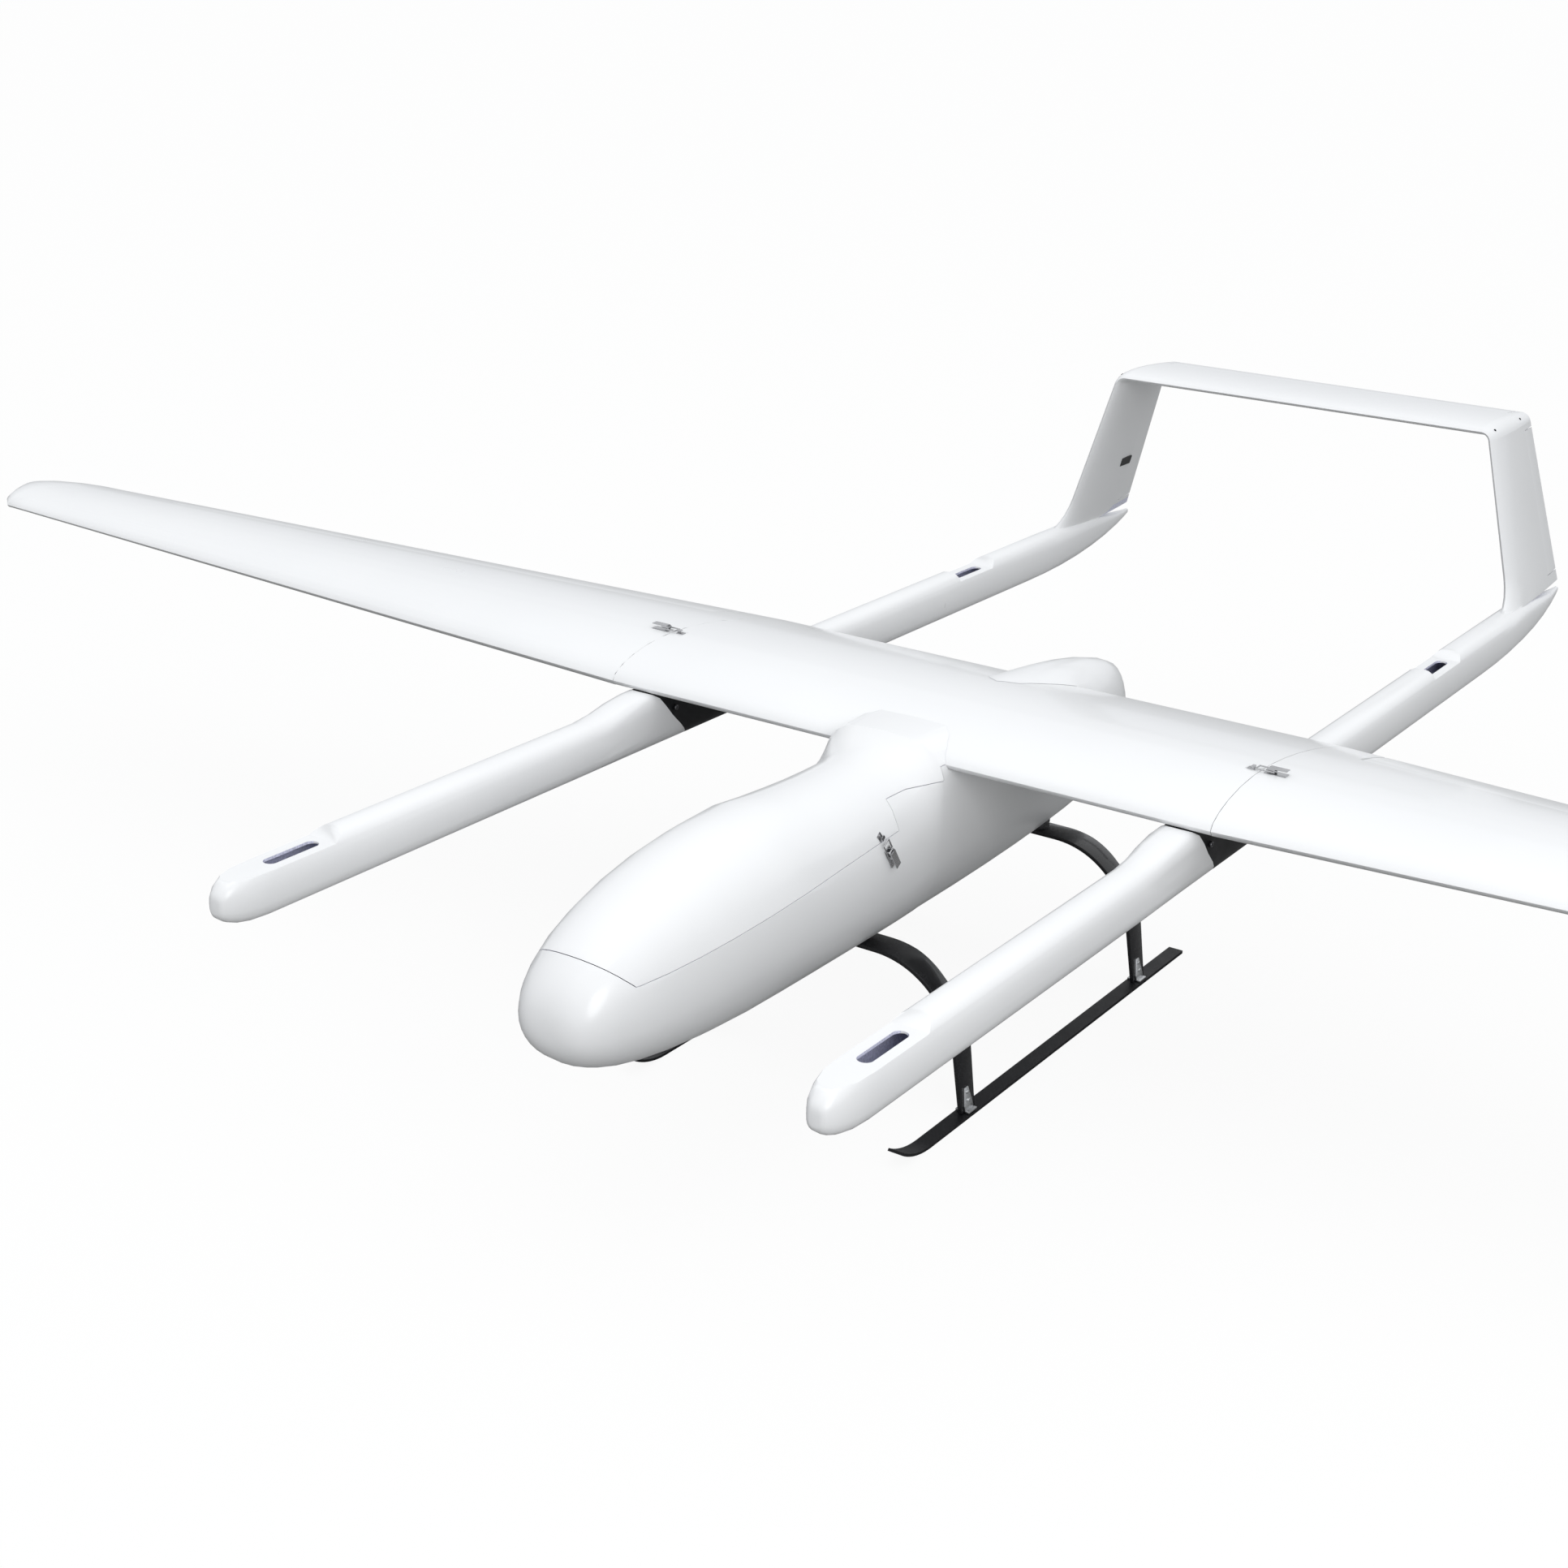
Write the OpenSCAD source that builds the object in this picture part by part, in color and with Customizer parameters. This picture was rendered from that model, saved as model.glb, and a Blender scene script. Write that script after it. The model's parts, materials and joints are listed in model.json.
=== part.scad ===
// Twin-boom fixed wing drone airframe with four lift-rotor pads, an inverted-U
// tail and skid gear. The nose looks along -Y, the left side is +X, Z is up,
// and the origin lies under the middle of the airframe at ground height.

/* [Wing] */
// Tip to tip span
span = 4000; // [3600:10:4400]
// Width of the constant-chord centre section, joint to joint
centre_w = 990; // [940:5:1080]
// Chord of the centre section
chord = 473; // [440:1:510]
// Chord where the rounded tip begins
tip_chord = 232; // [200:1:260]
// Spanwise length of the rounded tip
tip_len = 130; // [100:1:160]
// Sweep-back of an outer leading edge over the panel
le_sweep = 20; // [0:1:50]
// Upward angle of the outer panels
dihedral = 1.4; // [0:0.1:3]
// Downward slope of the chord line towards the trailing edge
incidence = 1.8; // [0:0.1:3]
// Airfoil thickness as a share of chord
foil_t = 0.118; // [0.1:0.002:0.14]
// Airfoil camber as a share of chord
foil_m = 0.04; // [0.02:0.005:0.05]
// Skin thickness of the moulded shells
skin = 2.5; // [2:0.1:4]
// Outside diameter of the front joiner tube
spar_d = 28; // [22:1:30]
// Outside diameter of the rear joiner tube
rear_spar_d = 16; // [12:1:18]
// Spanwise overlap of the front joiner tube into an outer panel
spar_reach = 190; // [120:5:240]

/* [Control surfaces] */
// Hinge line as a share of the local chord
hinge_s = 0.78; // [0.74:0.01:0.82]
// Distance from the panel joint to the inner end of an aileron
aileron_in = 70; // [60:1:120]
// Spanwise length of an aileron
aileron_len = 1130; // [900:10:1200]
// Running gap round the nose of a control surface
cove_gap = 1.2; // [0.8:0.1:2]
// Gap at the ends of an aileron
end_gap = 4; // [3:0.5:6]
// Gap at the ends of a rudder and of the elevator
tail_gap = 2; // [1.5:0.5:4]
// Hinge pin diameter
pin_d = 4; // [3:0.5:5]
// Radial play of a pin in its bore
play = 0.05; // [0.02:0.01:0.08]
// Distance from the inner end of an aileron to its drive
drive_in = 330; // [200:10:500]
// Radius of the aileron horn and of its servo arm
horn_r = 24; // [22:1:27]
// Length of the aileron pushrod
rod_len = 96; // [85:1:105]
// Radius of the elevator horn and of its servo arm
tail_horn_r = 17; // [16:0.5:20]
// Length of the elevator pushrod
tail_rod_len = 66; // [60:1:72]

/* [Fuselage] */
// Nose tip to rear end of the pod
pod_len = 1496; // [1440:2:1560]
// Nose tip ahead of the wing's leading edge
nose_y = 767; // [740:1:800]
// Greatest half width of the pod
pod_w = 104; // [98:1:112]
// Height of the pod's top ahead of the wing, over the leading edge line
pod_top = 38.5; // [34:0.5:42]
// Depth of the belly under the leading edge line
belly = 234.5; // [225:0.5:245]
// Gap along the hatch seam
seam = 1; // [0.6:0.1:1.6]
// Rear edge of the hatch behind the leading edge
hatch_rear = 64; // [56:1:70]
// Tilt of the hatch latches in side view
latch_tilt = 28; // [0:1:35]

/* [Booms] */
// Half the distance between the booms
boom_x = 446; // [430:1:455]
// Boom width
boom_w = 57; // [54:0.5:62]
// Boom height
boom_h = 79; // [75:0.5:84]
// Boom nose ahead of the wing's leading edge
boom_nose = 869; // [840:1:900]
// Boom tail end behind the wing's leading edge
boom_tail = 1661; // [1620:1:1700]
// Middle of the front rotor slot ahead of the leading edge
front_pad = 734; // [715:1:750]
// Middle of the rear rotor slot behind the leading edge
rear_pad = 997; // [970:1:1030]
// Length of a rotor slot
slot_l = 92; // [80:1:100]
// Width of a rotor slot
slot_w = 20; // [16:0.5:24]
// Diameter of the tube inside a boom
tube_d = 42; // [38:1:44]

/* [Tail] */
// Height of the stabilizer's middle over the leading edge line
stab_z = 293; // [270:1:320]
// Inward lean of the fins
cant = 15.4; // [10:0.2:18]
// Fin leading edge at its base, behind the wing's leading edge
fin_y = 1379; // [1350:1:1400]
// Chord at the foot of a fin
fin_chord = 280; // [265:1:290]
// Chord of the stabilizer and of the fin tops
stab_chord = 226; // [210:1:240]
// Tail airfoil thickness as a share of chord
tail_t = 0.095; // [0.085:0.005:0.11]
// Bend radius of the fin tops
elbow_r = 18; // [15:1:30]

/* [Landing gear] */
// Skid sole under the leading edge line
skid_z = 443; // [430:1:455]
// Bend radius of the leaf legs
bow_r = 175; // [165:1:185]
// Leg angle out of the vertical
leg_lean = 1; // [0:0.5:6]
// Width of a leaf leg at the belly
bow_w = 50; // [46:1:56]
// Width of a leaf leg at its foot
foot_w = 37; // [30:1:44]
// Thickness of a leaf leg
bow_t = 6; // [4:0.5:8]
// Middle of the front leg ahead of the leading edge
front_bow = 95; // [85:1:110]
// Middle of the rear leg behind the leading edge
rear_bow = 443; // [430:1:455]
// Forward rake of a foot
rake = 23; // [0:1:30]
// Width of a skid
skid_w = 24; // [20:1:30]
// Thickness of a skid
skid_t = 5; // [4:0.5:6]
// Straight skid ahead of the leading edge
skid_front = 233; // [215:1:245]
// Rear end of a skid behind the leading edge
skid_rear = 563; // [550:1:590]

/* [Hidden] */
$fn = 48;
half_c = centre_w / 2;
tip_x = span / 2 - tip_len;
slope = tan(incidence);
le_z = 0.024 * chord;
boom_top = -8.5;
boom_bot = boom_top - boom_h;
boom_z = (boom_top + boom_bot) / 2;
pad_z = boom_top - 14;
carrier_end = chord + 9;
bow_top = -belly - 1.5;
skid_top = skid_t - skid_z;
mid_y = (boom_tail - boom_nose) / 2;
pod_end = pod_len - nose_y;
joint_gap = 0.5;
firewall_y = pod_end - 26;
foil_n = 18;

// Airfoil: half thickness, camber line and closed outline of a chord c,
// from s0 to s1 of the chord, with the skin of thickness w taken off.
function thick(s, t) = 5 * t
    * (0.2969 * sqrt(s) - 0.126 * s - 0.3516 * s ^ 2 + 0.2843 * s ^ 3 - 0.1015 * s ^ 4);
function camb(s, m, p = 0.4) = s < p
    ? m / p ^ 2 * (2 * p * s - s ^ 2)
    : m / (1 - p) ^ 2 * (1 - 2 * p + 2 * p * s - s ^ 2);
function foil(c, m, t, n, s0 = 0, s1 = 1, w = 0) =
    let (ss = [for (i = [0:n]) s0 + (s1 - s0) * (1 - cos(180 * i / n)) / 2])
    concat(
        [for (i = [n:-1:0]) [ss[i] * c, c * (camb(ss[i], m) + thick(ss[i], t)) - w]],
        [for (i = [s0 > 0 ? 0 : 1:n]) [ss[i] * c, c * (camb(ss[i], m) - thick(ss[i], t)) + w]]);

// A panel is a straight-tapered lifting surface in its own frame, span along X:
// [x at its foot, leading edge y, chord, z, the same four at its end, camber, thickness, slope,
// end gap of its moving surface]
wing_panel = [half_c, 0, chord, le_z,
    tip_x, le_sweep, tip_chord, le_z + (tip_x - half_c) * tan(dihedral), foil_m, foil_t, slope, end_gap];
function mix(a, b, u) = a + (b - a) * u;
function at(p, x) = let (u = (x - p[0]) / (p[4] - p[0]))
    [mix(p[1], p[5], u), mix(p[2], p[6], u), mix(p[3], p[7], u)];
function surf(p, x, s, side) = let (q = at(p, x))
    [x, q[0] + s * q[1], q[2] + q[1] * (camb(s, p[8]) + side * thick(s, p[9]) - s * p[10])];
function section(x, q, p, n, s0 = 0, s1 = 1, w = 0) =
    [for (v = foil(q[1], p[8], p[9], n, s0, s1, w)) [x, q[0] + v[0], q[2] + v[1] - v[0] * p[10]]];
function hinge(p, x) = surf(p, x, hinge_s, 0);
function nose_r(p, x) = 0.93 * at(p, x)[1] * thick(hinge_s, p[9]);

// Solid through closed rings whose normals follow the way they run
module loft(rings) {
    n = len(rings[0]);
    k = len(rings);
    polyhedron(
        points = [for (r = rings) each r],
        faces = concat(
            [[for (j = [0:n - 1]) j]],
            [[for (j = [n - 1:-1:0]) (k - 1) * n + j]],
            [for (i = [0:k - 2], j = [0:n - 1])
                [i * n + j, (i + 1) * n + j, (i + 1) * n + (j + 1) % n]],
            [for (i = [0:k - 2], j = [0:n - 1])
                [i * n + j, (i + 1) * n + (j + 1) % n, i * n + (j + 1) % n]]));
}

// Round bar between two points
module rod(a, b, r) {
    d = b - a;
    translate(a)
        rotate([0, acos(d[2] / norm(d)), atan2(d[1], d[0])])
            cylinder(r = r, h = norm(d));
}

// Outline in the Y-Z plane pulled along X
module side_cut(w) {
    translate([-w / 2, 0, 0])
        rotate([90, 0, 90])
            linear_extrude(w)
                children();
}

// Outline in the X-Z plane pulled along Y from y0 to y1
module front_cut(y0, y1) {
    translate([0, y1, 0])
        rotate([90, 0, 0])
            linear_extrude(y1 - y0)
                children();
}

// Moves the working frame, with the leading edge at its zero, to the part's frame
module place() {
    translate([0, -mid_y, skid_z])
        children();
}

// Left part as drawn, right part as its mirror image
module sided(s) {
    mirror([s < 0 ? 1 : 0, 0, 0])
        children();
}

// Rounded oblong in plan, used for the rotor slots
module oblong(l, w, h) {
    cube([w, l - w, h], center = true);
    for (s = [-1, 1])
        translate([0, s * (l - w) / 2, 0])
            cylinder(d = w, h = h, center = true);
}

// Control surfaces, shared by ailerons, elevator and rudders

function flap_ring(p, x) = let (h = hinge(p, x), r = nose_r(p, x)) concat(
    [for (i = [0:8]) [x, h[1] + r * cos(90 + 22.5 * i), h[2] + r * sin(90 + 22.5 * i)]],
    [for (s = [0.86, 0.93, 1]) surf(p, x, s, -1)],
    [for (s = [1, 0.93, 0.86]) surf(p, x, s, 1)]);
function cove_ring(p, x) = let (h = hinge(p, x), r = nose_r(p, x) + cove_gap)
    [for (i = [0:23]) [x, h[1] + r * cos(15 * i), h[2] + r * sin(15 * i)]];
function aft_ring(p, x) = let (h = hinge(p, x), l = 0.5 * nose_r(p, x), e = at(p, x)[1])
    [[x, h[1] - l, h[2] - 60], [x, h[1] + e, h[2] - 60],
     [x, h[1] + e, h[2] + 60], [x, h[1] - l, h[2] + 60]];

// Moving surface between x0 and x1, bored for its two pins
module flap(p, x0, x1) {
    difference() {
        loft([flap_ring(p, x0), flap_ring(p, x1)]);
        flap_axis(p, x0 - 1, x0 + 5 * pin_d, pin_d / 2 + play);
        flap_axis(p, x1 - 5 * pin_d, x1 + 1, pin_d / 2 + play);
    }
}

// Room that a moving surface needs in its panel
module flap_room(p, x0, x1) {
    loft([cove_ring(p, x0 - p[11]), cove_ring(p, x1 + p[11])]);
    loft([aft_ring(p, x0 - p[11]), aft_ring(p, x1 + p[11])]);
}

module flap_axis(p, x0, x1, r) {
    rod(hinge(p, x0), hinge(p, x1), r);
}

// The two pins of a moving surface, each seated in its panel
module flap_pins(p, x0, x1) {
    flap_axis(p, x0 - p[11] - 2 * pin_d, x0 + 4 * pin_d, pin_d / 2);
    flap_axis(p, x1 - 4 * pin_d, x1 + p[11] + 2 * pin_d, pin_d / 2);
}

// Seats of the pins in the panel
module flap_seats(p, x0, x1) {
    flap_axis(p, x0 - p[11] - 2 * pin_d, x0, pin_d / 2 + 0.02);
    flap_axis(p, x1, x1 + p[11] + 2 * pin_d, pin_d / 2 + 0.02);
}

// Fuselage

// Pod stations: half width, top, bottom and upper squareness at a place y
nose_len = 405;
tail_len = 745;
nose_z = -128.5;
tail_z = -79;
saddle_top = 46.5;
dip = 14;
function ease(u) = let (v = max(0, min(1, u))) v * v * (3 - 2 * v);
function pod_square(y) = 2.2 + 2.8 * ease((y + 75) / 115) * (1 - ease((y - 100) / 250));
function pod_nose(a) = let (s = sin(a))
    [-nose_y + nose_len * (1 - cos(a)), pod_w * s ^ 0.48,
     nose_z + (pod_top - nose_z) * s ^ 0.88, nose_z - (belly + nose_z) * s ^ 0.7];
function pod_mid(y) = [y, pod_w,
    pod_top - dip * ease((y + 430) / 280) + (saddle_top - pod_top + dip) * ease((y + 100) / 130), -belly];
function pod_tail(a) = let (s = sin(a))
    [pod_end - tail_len * (1 - cos(a)), pod_w * s ^ 0.82,
     tail_z + (saddle_top - tail_z) * s ^ 0.76, tail_z - (belly + tail_z) * s ^ 0.2];
function power(v, e) = sign(v) * pow(abs(v), e);
function pod_ring(st, k, w = 0) =
    let (zc = (st[2] + st[3]) / 2, h = (st[2] - st[3]) / 2 - w, n = pod_square(st[0]))
    [for (i = [0:k - 1]) let (a = -360 * i / k, e = a > -180 ? 2 / 2.3 : 2 / n)
        [(st[1] - w) * power(cos(a), e), st[0], zc + h * power(sin(a), e)]];
function pod_stations(na, nm, nb, a0, b0) = concat(
    [for (i = [0:na]) pod_nose(mix(a0, 90, (i / na) ^ 1.6))],
    [for (i = [1:nm]) pod_mid(mix(nose_len - nose_y, pod_end - tail_len, 1 - (1 - i / (nm + 1)) ^ 1.6))],
    [for (i = [0:nb]) pod_tail(mix(90, b0, i / nb))]);

module pod_outer() {
    loft([for (s = pod_stations(12, 8, 11, 0.3, 3)) pod_ring(s, 28)]);
}

module pod_inner(w = skin) {
    loft([for (s = pod_stations(10, 8, 11, 6, 8)) pod_ring(s, 28, w)]);
}

module pod_shell() {
    difference() {
        pod_outer();
        pod_inner();
    }
}

// Side outline of the hatch; g shrinks it for the seam
hatch_nose = -689;
hatch_step = -124;
hatch_sill = -8;
hatch_lip = 12;
module hatch_outline(g) {
    polygon([
        [hatch_nose - 70, 0.97 * 70 - 78 + 1.5 * g],
        [hatch_nose + 0.4 * g, -78 + g],
        [hatch_step - g, -49 + g],
        [hatch_step - g, hatch_sill + g],
        [-hatch_lip - g, hatch_sill + g],
        [-hatch_lip - g, le_z + g],
        [hatch_rear - g, le_z + g],
        [hatch_rear - g, 120],
        [hatch_nose - 70, 120]]);
}

// Wing centre outline, grown by g for the parts that seat on it
module wing_outline(g = 0) {
    polygon([for (v = foil(chord + 2 * g, foil_m, foil_t, foil_n, 0, 1, -g))
        [v[0] - g, le_z + v[1] - v[0] * slope]]);
}

module wing_room(w) {
    side_cut(w)
        wing_outline(0.3);
}

module fuselage_shell() {
    color("white") place() difference() {
        pod_shell();
        wing_room(3 * pod_w);
        side_cut(3 * pod_w)
            hatch_outline(0);
        translate([-pod_w, hatch_rear - 1, 20])
            cube([2 * pod_w, 170, 60]);
        translate([-pod_w, firewall_y + firewall_t, -belly])
            cube([2 * pod_w, 60, 2 * belly]);
        for (y = [-front_bow, rear_bow])
            gear_seat(y);
        for (s = [-1, 1])
            sided(s)
                hatch_latch_frame()
                    latch_flat(-28, 7);
    }
}

module front_hatch() {
    color("white") place() difference() {
        intersection() {
            pod_shell();
            side_cut(3 * pod_w)
                hatch_outline(seam);
        }
        wing_room(3 * pod_w);
        for (s = [-1, 1])
            sided(s)
                hatch_hook_frame()
                    latch_flat(-8, 8);
    }
}

// Plywood frames across the pod, open in the middle
former_t = 5;
module former(y, open) {
    translate([0, y + former_t / 2, 0])
        difference() {
            cube([2 * pod_w, former_t, 3 * belly], center = true);
            translate([0, 0, open[2]])
                cube([open[0], 3 * former_t, open[1]], center = true);
        }
}

module formers() {
    color("burlywood") place() difference() {
        intersection() {
            pod_inner();
            union() {
                former(-430, [140, 150, -60]);
                former(-150, [140, 150, -60]);
                former(chord + 20, [110, 120, -110]);
            }
        }
        wing_room(3 * pod_w);
        side_cut(3 * pod_w)
            hatch_outline(-3 * seam);
        tray_room();
    }
}

// Equipment floor, notched into the two front frames
tray_z = -150;
tray_t = 6;
tray_y0 = -560;
tray_y1 = -60;
module tray_room() {
    translate([-75, tray_y0, tray_z])
        cube([150, tray_y1 - tray_y0, tray_t]);
}

module equipment_tray() {
    color("tan") place() difference() {
        tray_room();
        for (y = [tray_y0 + 50:90:tray_y1 - 30])
            translate([0, y, tray_z + tray_t / 2])
                oblong(60, 14, 3 * tray_t);
    }
}

pack = [60, 165, 52];
module battery_packs() {
    color("dimgray") place()
        for (s = [-1, 1])
            translate([s * (pack[0] / 2 + 3) - pack[0] / 2, tray_y0 + 140, tray_z + tray_t])
                cube(pack);
}

autopilot_size = [64, 96, 26];
module autopilot() {
    color("black") place() translate([-autopilot_size[0] / 2, tray_y1 - 190, tray_z + tray_t])
        difference() {
            cube(autopilot_size);
            for (x = [8:12:56])
                translate([x, -1, 10])
                    cube([8, 7, 9]);
        }
}

// Rear bulkhead for a pusher motor
firewall_t = 6;
motor_pcd = 44;
motor_hole = 5.2;
motor_z = -105;
module firewall() {
    color("dimgray") place() difference() {
        loft([for (y = [firewall_y, firewall_y + firewall_t])
            pod_ring(pod_tail(acos(1 - (pod_end - y) / tail_len)), 28, skin + 1.8)]);
        for (a = [45:90:315])
            translate([motor_pcd / 2 * cos(a), firewall_y - 1, motor_z + motor_pcd / 2 * sin(a)])
                rotate([-90, 0, 0])
                    cylinder(d = motor_hole, h = firewall_t + 2);
    }
}

// Wing

spar_s = 0.28;
rear_spar_s = 0.6;
function spar_at(s) = [s * chord, le_z + chord * (camb(s, foil_m) - s * slope)];
module spars_2d(g) {
    translate(spar_at(spar_s))
        circle(d = spar_d + g);
    translate(spar_at(rear_spar_s))
        circle(d = rear_spar_d + g);
}

module cavity_outline(w) {
    polygon([for (v = foil(chord, foil_m, foil_t, 12, 0.03, 0.74, w))
        [v[0], le_z + v[1] - v[0] * slope]]);
}

module wing_centre() {
    color("white") place() difference() {
        side_cut(centre_w)
            difference() {
                wing_outline();
                cavity_outline(skin);
            }
        for (s = [-1, 1])
            sided(s)
                wing_latch_frame()
                    latch_flat(-28, hook_y + 8);
    }
}

// Ribs at the ends of the centre section and beside the pod
rib_t = 6;
module centre_ribs() {
    color("burlywood") place()
        for (x = [rib_t / 2 - half_c, -pod_w, pod_w, half_c - rib_t / 2])
            translate([x, 0, 0])
                side_cut(rib_t)
                    difference() {
                        cavity_outline(skin);
                        spars_2d(2 * play);
                    }
}

module spar_tubes() {
    color("black") place() {
        side_cut(centre_w + 2 * spar_reach)
            translate(spar_at(spar_s))
                difference() {
                    circle(d = spar_d);
                    circle(d = spar_d - 4);
                }
        side_cut(centre_w + spar_reach)
            translate(spar_at(rear_spar_s))
                difference() {
                    circle(d = rear_spar_d);
                    circle(d = rear_spar_d - 3);
                }
    }
}

// Rounded tip: leading edge and chord at a share u of the tip's length
function tip_le(u) = mix(le_sweep, tip_mid, max(0, (u - 0.3) / 0.7) ^ 1.5);
function tip_te(u) = mix(le_sweep + tip_chord, tip_mid, 1 - sqrt(1 - u ^ 2));
tip_mid = le_sweep + 0.53 * tip_chord;
tip_last = 0.985;
function tip_section(u) = section(tip_x + tip_len * u / tip_last,
    [tip_le(u), tip_te(u) - tip_le(u), at(wing_panel, tip_x + tip_len * u)[2]], wing_panel, 14);

aileron_x0 = half_c + aileron_in;
aileron_x1 = aileron_x0 + aileron_len;
panel_gap = 0.6;

module wing_panel_body() {
    difference() {
        loft(concat(
            [section(half_c + panel_gap, at(wing_panel, half_c + panel_gap), wing_panel, 14)],
            [for (u = [0, 0.3, 0.55, 0.75, 0.9, tip_last]) tip_section(u)]));
        loft([for (x = [half_c - 1, tip_x - 40])
            section(x, at(wing_panel, x), wing_panel, 9, 0.04, 0.66, skin)]);
        flap_room(wing_panel, aileron_x0, aileron_x1);
        flap_seats(wing_panel, aileron_x0, aileron_x1);
        drive_room(wing_panel, drive_x, horn_r, rod_len);
        wing_latch_frame()
            latch_flat(-28, hook_y + 8);
    }
}

module left_wing() { color("white") place() sided(1) wing_panel_body(); }
module right_wing() { color("white") place() sided(-1) wing_panel_body(); }

module panel_ribs() {
    color("burlywood") place()
        for (s = [-1, 1])
            sided(s)
                difference() {
                    loft([for (x = [half_c + panel_gap, half_c + panel_gap + rib_t])
                        section(x, at(wing_panel, x), wing_panel, 9, 0.04, 0.66, skin)]);
                    side_cut(3 * half_c)
                        spars_2d(2 * play);
                }
}

module left_aileron() { color("white") place() sided(1) aileron_body(); }
module right_aileron() { color("white") place() sided(-1) aileron_body(); }
module aileron_body() {
    flap(wing_panel, aileron_x0, aileron_x1);
    drive_horn(wing_panel, drive_x, horn_r);
}

// Control drives: a servo arm, a rod and a horn that stay a parallelogram

drive_x = aileron_x0 + drive_in;
horn_t = 3;
rod_d = 3;
servo = [30, 40];

// Frame of a drive: X along the hinge line, Y aft, zero on the hinge
module drive_frame(p, x) {
    a = hinge(p, x - 50);
    b = hinge(p, x + 50);
    d = b - a;
    translate(hinge(p, x))
        rotate([0, -atan(d[2] / norm([d[0], d[1]])), atan(d[1] / d[0])])
            children();
}

// Flat eye-ended arm hanging from the zero point
module drive_lever(l, t, hole) {
    rotate([0, 90, 0])
        difference() {
            union() {
                cylinder(d = 10, h = t, center = true);
                translate([l, 0, 0])
                    cylinder(d = 8, h = t, center = true);
                translate([l / 2, 0, 0])
                    cube([l, 8, t], center = true);
            }
            translate([l, 0, 0])
                cylinder(d = hole, h = 2 * t, center = true);
        }
}

module drive_horn(p, x, l) {
    drive_frame(p, x)
        drive_lever(l, horn_t, 2 + 2 * play);
}

// Openings that the horn and the servo arm need in the panel
module drive_room(p, x, l, d) {
    drive_frame(p, x) {
        translate([-4, -0.75 * l, -1.6 * l])
            cube([8, 1.2 * l, 1.6 * l]);
        drive_bay(l, d, 0);
    }
}

// Servo bay cut up from the lower skin, closed by a slotted flush cover
bay = [66, 62];
bay_top = 6.5;
function cover_top(l) = -0.4 * l;
module drive_bay(l, d, g) {
    translate([servo[0] / 2 - bay[0] / 2 + g, -d - bay[1] / 2 - 8 + g, -2 * l])
        cube([bay[0] - 2 * g, bay[1] - 2 * g, 2 * l + bay_top]);
}

module drive_cover(p, x, l, d) {
    difference() {
        intersection() {
            loft([for (v = [x - bay[0], x + bay[0]]) section(v, at(p, v), p, 12)]);
            drive_frame(p, x)
                drive_bay(l, d, 0.3);
        }
        drive_frame(p, x) {
            translate([-bay[0], -d - 2 * bay[1], cover_top(l)])
                cube([2 * bay[0], 4 * bay[1], 4 * l]);
            translate([-4, -d - 0.62 * l - 5, -2 * l])
                cube([8, 1.24 * l + 10, 3 * l]);
        }
    }
}

module drive_servo(p, x, l, d) {
    drive_frame(p, x)
        difference() {
            translate([5.5, -d - servo[1] + 12, cover_top(l)])
                cube([servo[0], servo[1], bay_top - 0.5 - cover_top(l)]);
            translate([5, -d, 0])
                rotate([0, 90, 0])
                    cylinder(d = 5 + 2 * play, h = 10);
        }
}

// Servo arm with its output shaft
module drive_arm(p, x, l, d) {
    drive_frame(p, x)
        translate([0, -d, 0]) {
            drive_lever(l, horn_t, 2 + 2 * play);
            rotate([0, 90, 0])
                cylinder(d = 5, h = 12);
        }
}

// Rod beside the arm and horn, with a pin into each
module drive_rod(p, x, l, d) {
    drive_frame(p, x)
        translate([-horn_t / 2 - rod_d / 2 - 0.5, 0, -l]) {
            translate([0, -d - 3, 0])
                rotate([-90, 0, 0])
                    cylinder(d = rod_d, h = d + 6);
            for (y = [-d, 0])
                translate([0, y, 0])
                    rotate([0, 90, 0])
                        cylinder(d = 2, h = horn_t + rod_d / 2 + 1);
        }
}

module aileron_arm() {
    drive_arm(wing_panel, drive_x, horn_r, rod_len);
}

module aileron_rod() {
    drive_rod(wing_panel, drive_x, horn_r, rod_len);
}

module left_servo_arm() { color("dimgray") place() sided(1) aileron_arm(); }
module right_servo_arm() { color("dimgray") place() sided(-1) aileron_arm(); }
module left_pushrod() { color("silver") place() sided(1) aileron_rod(); }
module right_pushrod() { color("silver") place() sided(-1) aileron_rod(); }

module wing_servos() {
    color("black") place()
        for (s = [-1, 1])
            sided(s)
                drive_servo(wing_panel, drive_x, horn_r, rod_len);
}

module servo_covers() {
    color("white") place() {
        for (s = [-1, 1])
            sided(s)
                drive_cover(wing_panel, drive_x, horn_r, rod_len);
        drive_cover(stab_panel, tail_drive_x, tail_horn_r, tail_rod_len);
    }
}

// Booms

function boom_ring(y, w, zt, zb, k, g = 0) =
    [for (i = [0:k - 1]) let (a = -360 * i / k)
        [boom_x + (w - g) * power(cos(a), 0.75), y,
         (zt + zb) / 2 + ((zt - zb) / 2 - g) * power(sin(a), 0.75)]];

// Slanted joint between a front boom and its carrier, seen from the side
slant_top = 10;
slant_bot = 103;
function slant_y(z) = mix(slant_top, slant_bot, (-5 - z) / (-5 - boom_bot));
module slant_outline() {
    low = boom_bot - 9;
    polygon([[slant_y(30), 30], [slant_y(low), low], [chord, low], [chord, 30]]);
}

// Flat pad let into a boom's top, with a ramp at its rear, and the slot in it
module pad_cut(y, run) {
    side_cut(4 * boom_x)
        polygon([[y - run, pad_z], [y + 57, pad_z], [y + 80, boom_top + 1], [y + 80, 60], [y - run, 60]]);
}

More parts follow.
